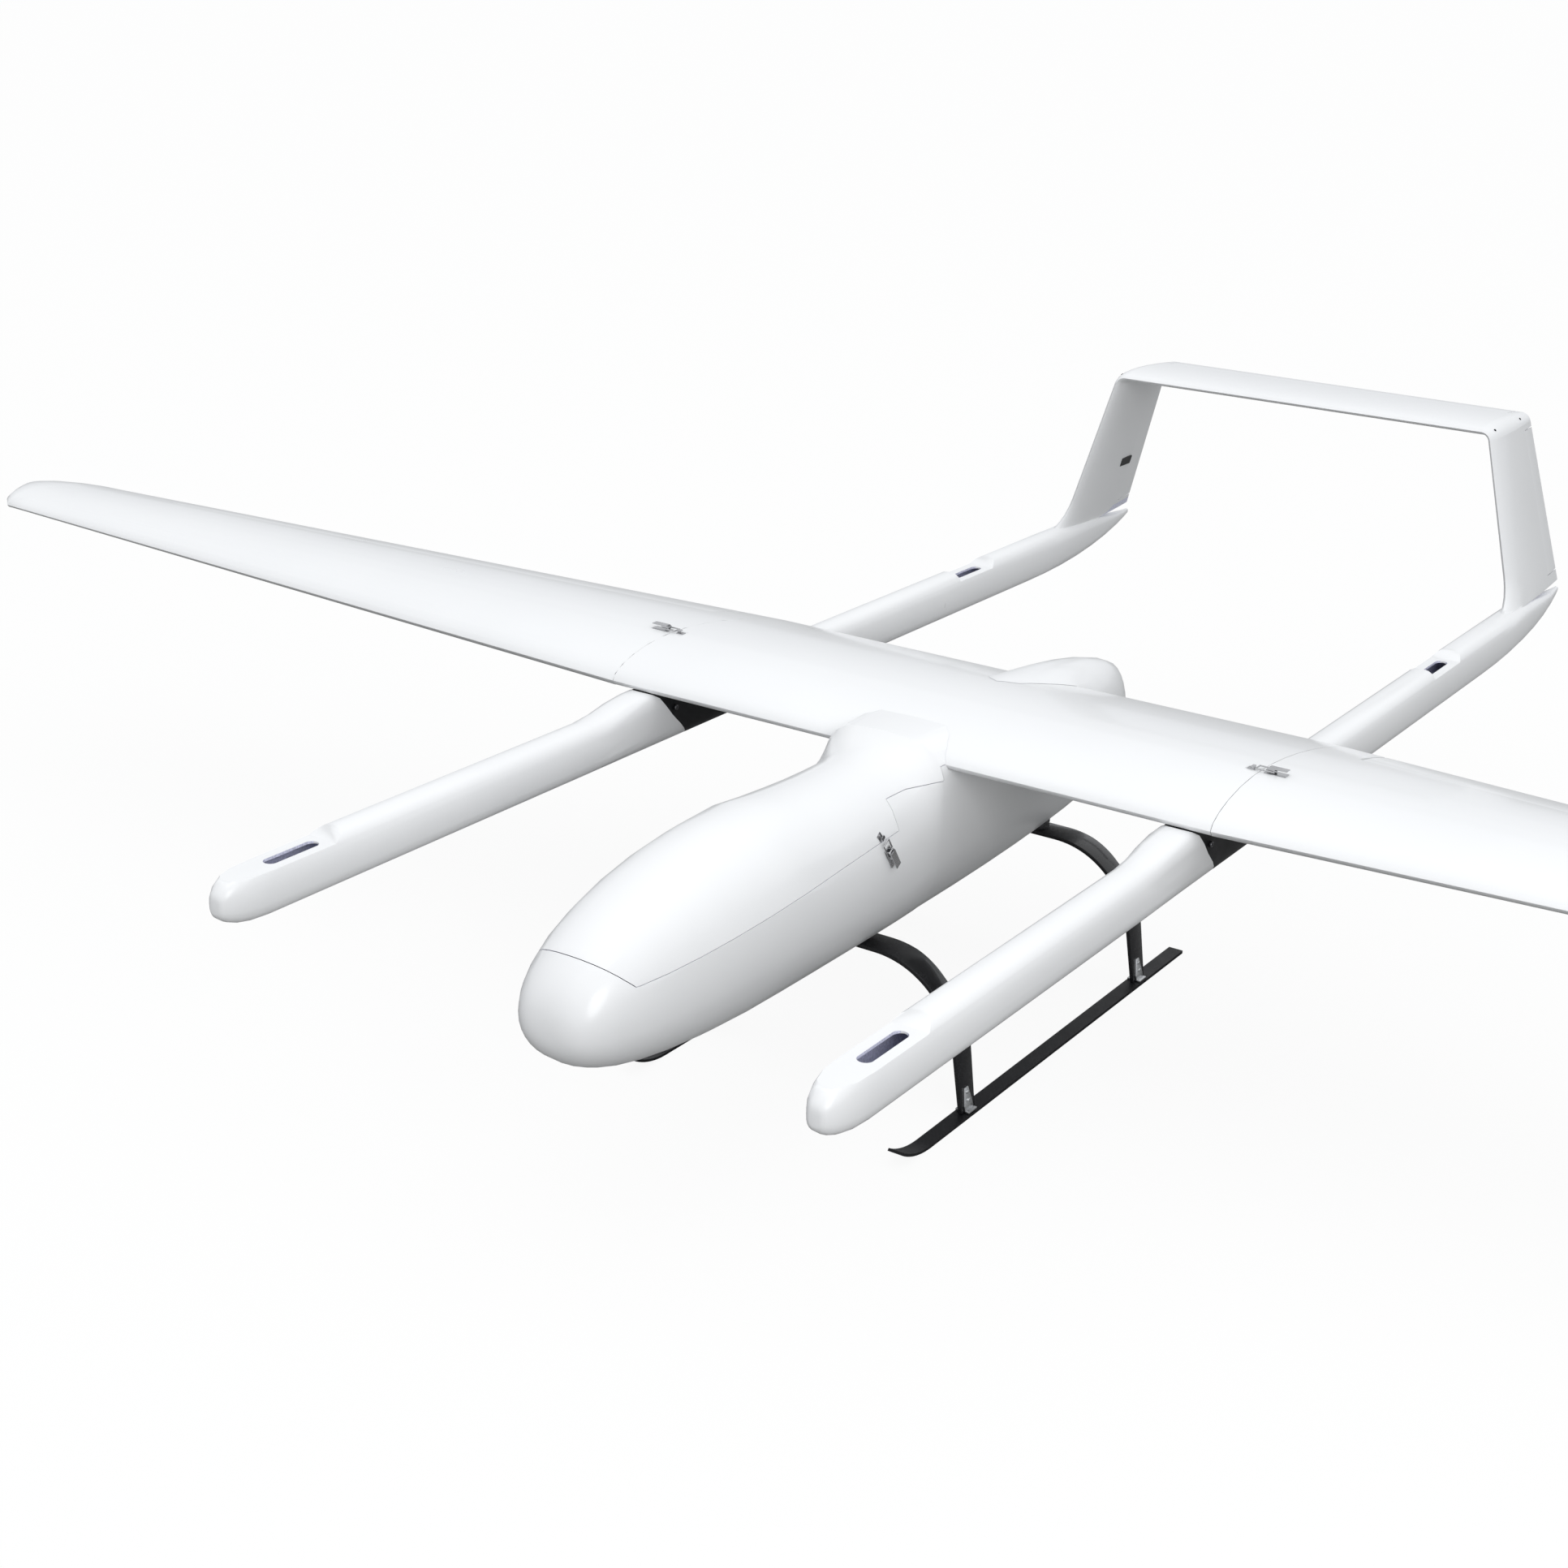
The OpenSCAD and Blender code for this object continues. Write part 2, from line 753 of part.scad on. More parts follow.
module pad_slot(y) {
    translate([boom_x, y, pad_z])
        oblong(slot_l, slot_w, 40);
}

module front_boom_body() {
    w = boom_w / 2;
    tip = boom_z - 6;
    core = -boom_nose + 45;
    difference() {
        loft(concat(
            [for (a = [8, 20, 34, 50, 68, 90]) let (s = sin(a))
                boom_ring(-boom_nose + 80 * (cos(8) - cos(a)), w * s ^ 0.75,
                    mix(tip, boom_top, s ^ 0.8), mix(tip, boom_bot, s ^ 0.7), 20)],
            [for (y = [-140, -100, -60, -20, 20, 130])
                boom_ring(y, w, boom_top + 13 * ease((y + 140) / 140), boom_bot, 20)]));
        loft([boom_ring(core, 0.7 * w, pad_z, boom_bot + 12, 16, skin),
            boom_ring(core + 45, w, pad_z, boom_bot, 16, skin),
            boom_ring(-70, w, pad_z, boom_bot, 16, skin)]);
        pad_cut(-front_pad, 160);
        pad_slot(-front_pad);
        side_cut(4 * boom_x)
            slant_outline();
        wing_room(4 * boom_x);
        boom_bore(0.05);
    }
}

module boom_bore(g) {
    translate([boom_x, -90, boom_z])
        rotate([-90, 0, 0])
            cylinder(d = tube_d + 2 * g, h = carrier_end + 190);
}

// Black carrier under the wing: it takes the tube and both boom ends
carrier_w = boom_w - 1;
function spaced(i) = (1 - cos(180 * i / foil_n)) / 2;
function wing_under(f) = surf([0, 0, chord, le_z, 1, 0, chord, le_z, foil_m, foil_t, slope], 0, f, -1);
module carrier_front() {
    polygon(concat(
        [[boom_x + carrier_w / 2, 30], [boom_x - carrier_w / 2, 30]],
        [for (a = [180:10:360])
            [boom_x + carrier_w / 2 * power(cos(a), 0.75),
             boom_z + (boom_h - 1) / 2 * power(sin(a), 0.75)]]));
}

module carrier_side() {
    front = 2;
    top = wing_under(spaced(front))[2] - 0.3;
    polygon(concat(
        [[slant_y(top) + joint_gap, top], [slant_y(boom_bot - 5) + joint_gap, boom_bot - 5],
         [carrier_end, boom_bot - 5], [carrier_end, boom_top], [chord + joint_gap, boom_top]],
        [for (i = [foil_n:-1:front]) let (v = wing_under(spaced(i))) [v[1], v[2] - 0.3]]));
}

module carrier_body() {
    difference() {
        intersection() {
            front_cut(-50, carrier_end + 10)
                carrier_front();
            side_cut(4 * boom_x)
                carrier_side();
        }
        boom_bore(0.05);
    }
}

module left_front_boom() { color("white") place() sided(1) front_boom_body(); }
module right_front_boom() { color("white") place() sided(-1) front_boom_body(); }
module left_boom_carrier() { color("black") place() sided(1) carrier_body(); }
module right_boom_carrier() { color("black") place() sided(-1) carrier_body(); }

module boom_tubes() {
    color("black") place()
        for (s = [-1, 1])
            sided(s)
                translate([boom_x, -85, boom_z])
                    rotate([-90, 0, 0])
                        difference() {
                            cylinder(d = tube_d, h = carrier_end + 180);
                            translate([0, 0, -1])
                                cylinder(d = tube_d - 5, h = carrier_end + 182);
                        }
}

// Tail

tail_rise = 1210;
fin_root = [boom_x, fin_y, boom_top - 6];
fin_h = (stab_z - elbow_r + elbow_r * sin(cant) - fin_root[2]) / cos(cant);
fin_fillet = 62;
fin_sweep = 16;
stab_half = fin_root[0] - fin_h * sin(cant) - elbow_r * cos(cant);
fin_panel = [0, 0, fin_chord, 0, fin_h, fin_sweep, stab_chord, 0, 0, tail_t, 0, tail_gap];
stab_le = fin_y + fin_sweep;
stab_panel = [-stab_half, stab_le, stab_chord, stab_z,
    stab_half, stab_le, stab_chord, stab_z, 0, tail_t, 0, tail_gap];
rudder_x0 = 22;
rudder_x1 = fin_h - tail_gap - 10;
elevator_half = stab_half - tail_gap - 10;
tail_drive_x = 60;

// Fin frame: X up the fin, Y aft, Z inboard
module fin_frame() {
    translate(fin_root)
        rotate([0, -90 - cant, 0])
            children();
}

// Fin section at height x, with the swept foot that runs out on the boom
function fin_section(x) = let (
        q = at(fin_panel, x),
        f = x < fin_fillet ? fin_fillet * (1 - sqrt(1 - (1 - x / fin_fillet) ^ 2)) : 0)
    [for (v = foil(q[1] + f, 0, tail_t * q[1] / (q[1] + f), 12)) [x, q[0] - f + v[0], v[1]]];

module fin_body() {
    difference() {
        loft([for (x = [0, 5, 14, 28, 46, fin_fillet, fin_h]) fin_section(x)]);
        flap_room(fin_panel, rudder_x0, rudder_x1);
        flap_seats(fin_panel, rudder_x0, rudder_x1);
        fin_plate_room(0);
    }
}

// Black cover let into the inboard face of a fin
fin_plate = [17, 42, 3];
module fin_plate_room(g) {
    translate([118 - fin_plate[0] / 2 + g, 152 + g, 8])
        cube([fin_plate[0] - 2 * g, fin_plate[1] - 2 * g, 20]);
}

module tail_boom_body() {
    w = boom_w / 2;
    len = boom_tail - tail_rise;
    difference() {
        union() {
            difference() {
                loft(concat(
                    [for (y = [carrier_end + joint_gap, rear_pad - 60, tail_rise])
                        boom_ring(y, w, boom_top, boom_bot, 20)],
                    [for (u = [0.15, 0.3, 0.45, 0.6, 0.74, 0.86, 0.95, 1])
                        boom_ring(tail_rise + len * u, w * (1 - 0.88 * u ^ 3),
                            boom_top - 20 * ease((u - 0.45) / 0.55), boom_bot + 50 * u ^ 2.2, 20)]));
                loft([for (y = [carrier_end + 110, tail_rise + 60])
                    boom_ring(y, w, pad_z, boom_bot, 16, skin)]);
                pad_cut(rear_pad, 62);
                pad_slot(rear_pad);
                boom_bore(0.05);
            }
            fin_frame()
                fin_body();
        }
        fin_frame()
            flap_room(fin_panel, rudder_x0, rudder_x1);
    }
}

module left_tail_boom() { color("white") place() sided(1) tail_boom_body(); }
module right_tail_boom() { color("white") place() sided(-1) tail_boom_body(); }

module rudder_body() {
    fin_frame()
        flap(fin_panel, rudder_x0, rudder_x1);
}

module left_rudder() { color("white") place() sided(1) rudder_body(); }
module right_rudder() { color("white") place() sided(-1) rudder_body(); }

module fin_plates() {
    color("black") place()
        for (s = [-1, 1])
            sided(s)
                fin_frame()
                    intersection() {
                        fin_plate_room(0.2);
                        translate([0, 0, 8])
                            cube([200, 300, fin_plate[2]]);
                    }
}

// Bent corners between the fin tops and the stabilizer
module fin_caps() {
    color("white") place()
        for (s = [-1, 1])
            sided(s)
                translate([stab_half, stab_le, stab_z - elbow_r])
                    rotate([90, 0, 0])
                        rotate([0, 0, cant])
                            rotate_extrude(angle = 90 - cant)
                                polygon([for (v = foil(stab_chord, 0, tail_t, 12))
                                    [elbow_r + v[1], -v[0]]]);
}

module stabilizer() {
    color("white") place() difference() {
        loft([for (x = [-stab_half, stab_half]) section(x, at(stab_panel, x), stab_panel, 12)]);
        flap_room(stab_panel, -elevator_half, elevator_half);
        flap_seats(stab_panel, -elevator_half, elevator_half);
        drive_room(stab_panel, tail_drive_x, tail_horn_r, tail_rod_len);
    }
}

module elevator() {
    color("white") place() {
        flap(stab_panel, -elevator_half, elevator_half);
        drive_horn(stab_panel, tail_drive_x, tail_horn_r);
    }
}

module elevator_servo() {
    color("black") place()
        drive_servo(stab_panel, tail_drive_x, tail_horn_r, tail_rod_len);
}

module elevator_arm() {
    color("dimgray") place()
        drive_arm(stab_panel, tail_drive_x, tail_horn_r, tail_rod_len);
}

module elevator_pushrod() {
    color("silver") place()
        drive_rod(stab_panel, tail_drive_x, tail_horn_r, tail_rod_len);
}

module hinge_pins() {
    color("silver") place() {
        for (s = [-1, 1])
            sided(s) {
                flap_pins(wing_panel, aileron_x0, aileron_x1);
                fin_frame()
                    flap_pins(fin_panel, rudder_x0, rudder_x1);
            }
        flap_pins(stab_panel, -elevator_half, elevator_half);
    }
}

// Landing gear

bow_x0 = 52;
saddle_x = 28;
leg_top = [bow_x0 + bow_r * cos(leg_lean), bow_top - bow_r + bow_r * sin(leg_lean)];
skid_x = leg_top[0] + (leg_top[1] - skid_top) * tan(leg_lean) - bow_t / 2 / cos(leg_lean);

// Saddle that fills the belly over a leg
module gear_seat(y) {
    translate([-saddle_x, y - bow_w / 2, bow_top])
        cube([2 * saddle_x, bow_w, 18]);
}

module gear_saddles() {
    color("black") place()
        for (y = [-front_bow, rear_bow])
            gear_seat(y);
}

// Right half of a leaf leg's face at radius r of its bend, from the middle to below the skid
function bow_line(r) = concat(
    [[0, bow_top - bow_r + r]],
    [for (i = [0:30]) let (a = i / 30 * (90 - leg_lean))
        [bow_x0 + r * sin(a), bow_top - bow_r + r * cos(a)]],
    [[bow_x0 + r * cos(leg_lean) + (bow_top - bow_r + r * sin(leg_lean) - skid_top) * tan(leg_lean),
      skid_top]]);
module bow_half() {
    outer = bow_line(bow_r);
    inner = bow_line(bow_r - bow_t);
    polygon(concat(outer, [for (i = [len(inner) - 1:-1:0]) inner[i]]));
}

module bow(y) {
    intersection() {
        front_cut(y - bow_w, y + bow_w)
            union() {
                bow_half();
                mirror([1, 0])
                    bow_half();
            }
        side_cut(4 * bow_r)
            polygon([
                [y - bow_w / 2, bow_top + 1],
                [y - bow_w / 2, bow_top - bow_t],
                [y - rake - foot_w / 2, skid_top],
                [y - rake + foot_w / 2, skid_top],
                [y + bow_w / 2, bow_top - bow_t],
                [y + bow_w / 2, bow_top + 1]]);
    }
}

module front_gear_bow() { color("black") place() bow(-front_bow); }
module rear_gear_bow() { color("black") place() bow(rear_bow); }

curl_r = 143;
curl_a = 36;
function curl(r) = [for (a = [0:3:curl_a]) [-skid_front - r * sin(a), curl_r - skid_z - r * cos(a)]];
module skid_body() {
    inner = curl(curl_r - skid_t);
    translate([skid_x, 0, 0])
        side_cut(skid_w)
            polygon(concat(
                [[skid_rear, -skid_z]],
                curl(curl_r),
                [for (i = [len(inner) - 1:-1:0]) inner[i]],
                [[skid_rear, skid_top]]));
}

module left_skid() { color("black") place() sided(1) skid_body(); }
module right_skid() { color("black") place() sided(-1) skid_body(); }

// Clamp plate on one face of a shank, with a foot on the skid and two bolts
bracket_h = 34;
bracket_t = 2.5;
module bracket(s) {
    difference() {
        union() {
            rotate([0, -leg_lean, 0])
                translate([s > 0 ? bow_t / 2 + 0.15 : -bow_t / 2 - bracket_t - 0.15, 0, 0])
                    rotate([90, 0, 90])
                        linear_extrude(bracket_t)
                            polygon([[-11, -4], [11, -4], [10, 8],
                                [5, bracket_h], [-5, bracket_h], [-10, 8]]);
            translate([s > 0 ? bow_t / 2 + 0.4 : -bow_t / 2 - 8, -11, 0])
                cube([7.6, 22, 3]);
            for (h = [15, 27])
                rotate([0, -leg_lean, 0])
                    translate([s * (bow_t / 2 + bracket_t - 0.5), 0, h])
                        rotate([0, s * 90, 0])
                            cylinder(d = 5, h = 3);
        }
        translate([-50, -50, -20])
            cube([100, 100, 20]);
    }
}

module skid_brackets() {
    color("silver") place()
        for (m = [-1, 1], y = [-front_bow, rear_bow], s = [-1, 1])
            sided(m)
                translate([skid_x, y - rake, skid_top])
                    bracket(s);
}

// Draw latches

pivot_z = 5;
link = [-6.5, -1];
bail_x = 7.4;
bail_d = 2.2;
bail_y = 17;

// Latch frames: Y towards the hook, Z out of the skin. A frame on the pod leans with
// the skin between the heights z - below and z + above.
latch_y = -160;
latch_z = -66;
hook_y = 25;
function pod_x(y, z) = let (st = pod_mid(y), h = (st[2] - st[3]) / 2, n = pod_square(y))
    st[1] * (1 - abs((z - st[3]) / h - 1) ^ n) ^ (1 / n);
function pod_lean(y, z0, z1) = atan((pod_x(y, z0) - pod_x(y, z1)) / (z1 - z0));
module on_pod(y, z, below, above) {
    translate([pod_x(y, z) - 0.4, y, z])
        rotate([0, -pod_lean(y, z - below, z + above), 0])
            rotate([latch_tilt, 0, 0])
                rotate([90, 0, 90])
                    children();
}

module hatch_latch_frame() {
    on_pod(latch_y, latch_z, 23, 5)
        children();
}

module hatch_hook_frame() {
    on_pod(latch_y - hook_y * sin(latch_tilt), latch_z + hook_y * cos(latch_tilt), 5, 5)
        children();
}

wing_latch_y = 0.33 * chord;
module wing_latch_frame() {
    translate([half_c + 12, wing_latch_y, surf(wing_panel, half_c + 1, 0.33, 1)[2] - 0.8])
        rotate([0, 0, 90])
            children();
}

// Flat let into the skin under a latch, from y0 to y1
module latch_flat(y0, y1) {
    translate([-9, y0, 0])
        cube([18, y1 - y0, 14]);
}

module latch_base() {
    translate([-7, -26, 0])
        cube([14, 31, 1.2]);
    for (s = [-1, 1])
        translate([s * 3.8, 0, 0]) {
            translate([-0.6, -1.6, 0])
                cube([1.2, 3.2, pivot_z]);
            translate([0, 0, pivot_z])
                rotate([0, 90, 0])
                    cylinder(r = 2.2, h = 1.2, center = true);
        }
    translate([0, 0, pivot_z])
        rotate([0, 90, 0])
            cylinder(r = 1.2, h = 12.4, center = true);
}

module latch_lever() {
    translate([0, 0, pivot_z])
        difference() {
            union() {
                translate([-5.9, -27, 2.6])
                    cube([11.8, 26, 1.2]);
                for (s = [-1, 1])
                    translate([s * 5.3, 0, 0]) {
                        translate([-0.6, -9.4, -2.8])
                            cube([1.2, 9.4, 6.6]);
                        rotate([0, 90, 0])
                            cylinder(r = 2.8, h = 1.2, center = true);
                    }
            }
            rotate([0, 90, 0])
                cylinder(r = 1.2 + play, h = 20, center = true);
            translate([0, link[0], link[1]])
                rotate([0, 90, 0])
                    cylinder(d = bail_d + 2 * play, h = 20, center = true);
        }
}

module latch_bail() {
    translate([0, 0, pivot_z + link[1]]) {
        for (s = [-1, 1]) {
            translate([s * bail_x, link[0], 0]) {
                sphere(d = bail_d);
                rotate([-90, 0, 0])
                    cylinder(d = bail_d, h = bail_y - link[0]);
                rotate([0, -s * 90, 0])
                    cylinder(d = bail_d, h = 2.6);
            }
            translate([s * bail_x, bail_y, 0])
                sphere(d = bail_d);
        }
        translate([0, bail_y, 0])
            rotate([0, 90, 0])
                cylinder(d = bail_d, h = 2 * bail_x, center = true);
    }
}

// Turned-up hook on its own foot
module latch_hook() {
    translate([-5, -5.4, 0])
        cube([10, 11.4, 1.2]);
    translate([-4.2, -4, 0])
        cube([8.4, 1.2, 5]);
    translate([-4.2, -4, 3.8])
        cube([8.4, 4.5, 1.2]);
}

module latch_bases() {
    color("silver") place()
        for (s = [-1, 1])
            sided(s) {
                hatch_latch_frame()
                    latch_base();
                wing_latch_frame()
                    latch_base();
            }
}

module hatch_hooks() {
    color("silver") place()
        for (s = [-1, 1])
            sided(s)
                hatch_hook_frame()
                    latch_hook();
}

module wing_hooks() {
    color("silver") place()
        for (s = [-1, 1])
            sided(s)
                wing_latch_frame()
                    translate([0, hook_y, 0])
                        latch_hook();
}

module left_hatch_lever() { color("silver") place() sided(1) hatch_latch_frame() latch_lever(); }
module right_hatch_lever() { color("silver") place() sided(-1) hatch_latch_frame() latch_lever(); }
module left_hatch_bail() { color("silver") place() sided(1) hatch_latch_frame() latch_bail(); }
module right_hatch_bail() { color("silver") place() sided(-1) hatch_latch_frame() latch_bail(); }
module left_wing_lever() { color("silver") place() sided(1) wing_latch_frame() latch_lever(); }
module right_wing_lever() { color("silver") place() sided(-1) wing_latch_frame() latch_lever(); }
module left_wing_bail() { color("silver") place() sided(1) wing_latch_frame() latch_bail(); }
module right_wing_bail() { color("silver") place() sided(-1) wing_latch_frame() latch_bail(); }

fuselage_shell();
front_hatch();
formers();
equipment_tray();
battery_packs();
autopilot();
firewall();
wing_centre();
centre_ribs();
spar_tubes();
left_wing();
right_wing();
panel_ribs();
left_aileron();
right_aileron();
wing_servos();
servo_covers();
left_servo_arm();
right_servo_arm();
left_pushrod();
right_pushrod();
left_front_boom();
right_front_boom();
left_boom_carrier();
right_boom_carrier();
boom_tubes();
left_tail_boom();
right_tail_boom();
left_rudder();
right_rudder();
fin_plates();
fin_caps();
stabilizer();
elevator();
elevator_servo();
elevator_arm();
elevator_pushrod();
hinge_pins();
gear_saddles();
front_gear_bow();
rear_gear_bow();
left_skid();
right_skid();
skid_brackets();
latch_bases();
hatch_hooks();
wing_hooks();
left_hatch_lever();
right_hatch_lever();
left_hatch_bail();
right_hatch_bail();
left_wing_lever();
right_wing_lever();
left_wing_bail();
right_wing_bail();
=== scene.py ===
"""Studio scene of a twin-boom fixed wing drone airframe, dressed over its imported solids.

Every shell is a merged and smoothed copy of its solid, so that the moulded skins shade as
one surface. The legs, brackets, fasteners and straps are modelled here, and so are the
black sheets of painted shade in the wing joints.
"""

import json
import logging
import math
from dataclasses import dataclass
from enum import Enum
from typing import Iterable, Sequence

import bmesh
import bpy
from mathutils import Matrix, Vector
from mathutils.bvhtree import BVHTree


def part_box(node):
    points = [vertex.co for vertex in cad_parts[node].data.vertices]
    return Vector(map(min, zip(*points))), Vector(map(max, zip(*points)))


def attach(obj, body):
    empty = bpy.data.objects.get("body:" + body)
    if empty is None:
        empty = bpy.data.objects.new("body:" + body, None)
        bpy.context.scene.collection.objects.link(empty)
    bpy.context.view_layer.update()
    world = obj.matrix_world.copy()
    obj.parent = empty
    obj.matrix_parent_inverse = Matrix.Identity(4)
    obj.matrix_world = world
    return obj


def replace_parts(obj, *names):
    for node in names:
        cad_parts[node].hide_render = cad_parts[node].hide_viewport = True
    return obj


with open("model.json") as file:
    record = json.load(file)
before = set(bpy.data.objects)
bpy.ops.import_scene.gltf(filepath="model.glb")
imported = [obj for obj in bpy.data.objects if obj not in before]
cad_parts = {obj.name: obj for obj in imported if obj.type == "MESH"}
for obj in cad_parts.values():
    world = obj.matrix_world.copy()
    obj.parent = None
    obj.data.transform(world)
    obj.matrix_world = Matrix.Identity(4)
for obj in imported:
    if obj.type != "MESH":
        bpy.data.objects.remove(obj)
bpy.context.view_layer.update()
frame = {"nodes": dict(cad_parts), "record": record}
LOG = logging.getLogger("airframe")
IMAGE_SIZE = 1932
AIRFRAME = "airframe"
MERGE_DIST = 2e-5
WELD_DIST = 1e-5
FLAT_ANGLE = math.radians(0.3)
FACING = 0.9
UP = Vector((0, 0, 1))

HEAD_SEGMENTS = 18
HEAD_ROUND = 0.45
SOCKET_RIM = 0.2
SOCKET_TAPER = 0.02
SOCKET_DEPTH = 0.6

Colour = tuple[float, float, float]
Point = tuple[float, float, float]
Swing = tuple[float, float]


def scaled(colour: Colour, share: float) -> Colour:
    """Makes a colour darker or lighter by a share."""
    return tuple(share * c for c in colour)


class Side(Enum):
    """The two sides of the aircraft, with the sign of their X."""

    LEFT = 1
    RIGHT = -1

    @property
    def word(self) -> str:
        """Name of the side as the node names spell it."""
        return self.name.lower()


class Inside(Enum):
    """How a shell's inner faces are told from its outer skin."""

    NONE = "none"
    POD = "pod"
    LEFT_BOOM = "left_boom"
    RIGHT_BOOM = "right_boom"


class Net:
    """Short-hand for building a material's node tree."""

    def __init__(self, name: str) -> None:
        """Starts a material with an empty tree.

        Args:
            name: Name of the material.
        """
        self.material = bpy.data.materials.new(name)
        self.material.use_nodes = True
        self.tree = self.material.node_tree
        self.tree.nodes.clear()
        self.output = self.tree.nodes.new("ShaderNodeOutputMaterial")

    def add(self, kind: str, **values: object) -> bpy.types.Node:
        """Adds a node and sets its properties.

        Args:
            kind: Blender's name of the node type.
            **values: Properties of the node.

        Returns:
            The new node.
        """
        node = self.tree.nodes.new(kind)
        for key, value in values.items():
            setattr(node, key, value)
        return node

    def link(self, source: bpy.types.NodeSocket, target: bpy.types.NodeSocket) -> None:
        """Links two sockets."""
        self.tree.links.new(source, target)

    def compute(self, kind: str, operation: str, *inputs: object) -> bpy.types.Node:
        """Adds a node that computes something and fills its inputs in order.

        Args:
            kind: Blender's name of the node type.
            operation: What it computes.
            *inputs: A socket to link, or a constant, for each input.

        Returns:
            The new node.
        """
        node = self.add(kind, operation=operation)
        for socket, value in zip(node.inputs, inputs):
            if isinstance(value, bpy.types.NodeSocket):
                self.link(value, socket)
            else:
                socket.default_value = value
        return node

    def principled(self, roughness: float, metallic: float = 0.0) -> bpy.types.Node:
        """Adds the surface shader and links it to the output.

        Args:
            roughness: Roughness of the surface.
            metallic: 1 for bare metal, 0 for anything else.

        Returns:
            The shader.
        """
        node = self.add("ShaderNodeBsdfPrincipled")
        node.inputs["Roughness"].default_value = roughness
        node.inputs["Metallic"].default_value = metallic
        self.link(node.outputs["BSDF"], self.output.inputs["Surface"])
        return node

    def object_coords(self) -> bpy.types.NodeSocket:
        """Adds a texture coordinate node and returns its object output."""
        return self.add("ShaderNodeTexCoord").outputs["Object"]

    def stretched(self, scale: Sequence[float],
                  turn: Sequence[float] = (0, 0, 0)) -> bpy.types.NodeSocket:
        """Object coordinates, turned and scaled.

        Args:
            scale: Scale along the three axes.
            turn: Rotation about the three axes, in degrees.

        Returns:
            The mapped vector.
        """
        mapping = self.add("ShaderNodeMapping")
        mapping.inputs["Scale"].default_value = scale
        mapping.inputs["Rotation"].default_value = [math.radians(a) for a in turn]
        self.link(self.object_coords(), mapping.inputs["Vector"])
        return mapping.outputs["Vector"]

    def noise(self, scale: float, detail: float = 2.0,
              vector: bpy.types.NodeSocket | None = None) -> bpy.types.NodeSocket:
        """Adds a noise on object coordinates.

        Args:
            scale: Cells per metre.
            detail: Number of finer layers.
            vector: Coordinates to use in place of plain object ones.

        Returns:
            The noise value, from 0 to 1.
        """
        node = self.add("ShaderNodeTexNoise")
        node.inputs["Scale"].default_value = scale
        node.inputs["Detail"].default_value = detail
        self.link(vector or self.object_coords(), node.inputs["Vector"])
        return node.outputs["Fac"]

    def ramp(self, factor: bpy.types.NodeSocket, low: float, high: float,
             first: Colour, second: Colour) -> bpy.types.NodeSocket:
        """Turns a value into a colour between two tones.

        Args:
            factor: The value.
            low: Value at which the first tone ends.
            high: Value at which the second tone begins.
            first: The first tone.
            second: The second tone.

        Returns:
            The colour.
        """
        node = self.add("ShaderNodeValToRGB")
        node.color_ramp.elements[0].position = low
        node.color_ramp.elements[1].position = high
        node.color_ramp.elements[0].color = (*first, 1)
        node.color_ramp.elements[1].color = (*second, 1)
        self.link(factor, node.inputs["Fac"])
        return node.outputs["Color"]

    def wear(self, shader: bpy.types.Node, factor: bpy.types.NodeSocket, roughness: float,
             swing: Swing) -> None:
        """Varies the roughness of a shader by a value.

        Args:
            shader: The surface shader.
            factor: The value, from 0 to 1.
            roughness: The plain roughness.
            swing: What is added to it where the value is 0 and where it is 1.
        """
        node = self.add("ShaderNodeMapRange")
        node.inputs["To Min"].default_value = roughness + swing[0]
        node.inputs["To Max"].default_value = roughness + swing[1]
        self.link(factor, node.inputs["Value"])
        self.link(node.outputs["Result"], shader.inputs["Roughness"])

    def blend(self, factor: bpy.types.NodeSocket, first: bpy.types.NodeSocket,
              second: bpy.types.NodeSocket) -> bpy.types.NodeSocket:
        """Mixes two colours by a factor.

        Args:
            factor: Share of the second colour.
            first: The first colour.
            second: The second colour.

        Returns:
            The mixed colour.
        """
        node = self.add("ShaderNodeMix", data_type="RGBA")
        sockets = {s.identifier: s for s in (*node.inputs, *node.outputs)}
        self.link(factor, sockets["Factor_Float"])
        self.link(first, sockets["A_Color"])
        self.link(second, sockets["B_Color"])
        return sockets["Result_Color"]

    def bump(self, height: bpy.types.NodeSocket, strength: float, depth: float,
             shader: bpy.types.Node) -> None:
        """Gives a shader a bump.

        Args:
            height: The height value.
            strength: Share of the effect.
            depth: Height of the bump in metres.
            shader: The surface shader.
        """
        node = self.add("ShaderNodeBump")
        node.inputs["Strength"].default_value = strength
        node.inputs["Distance"].default_value = depth
        self.link(height, node.inputs["Height"])
        self.link(node.outputs["Normal"], shader.inputs["Normal"])


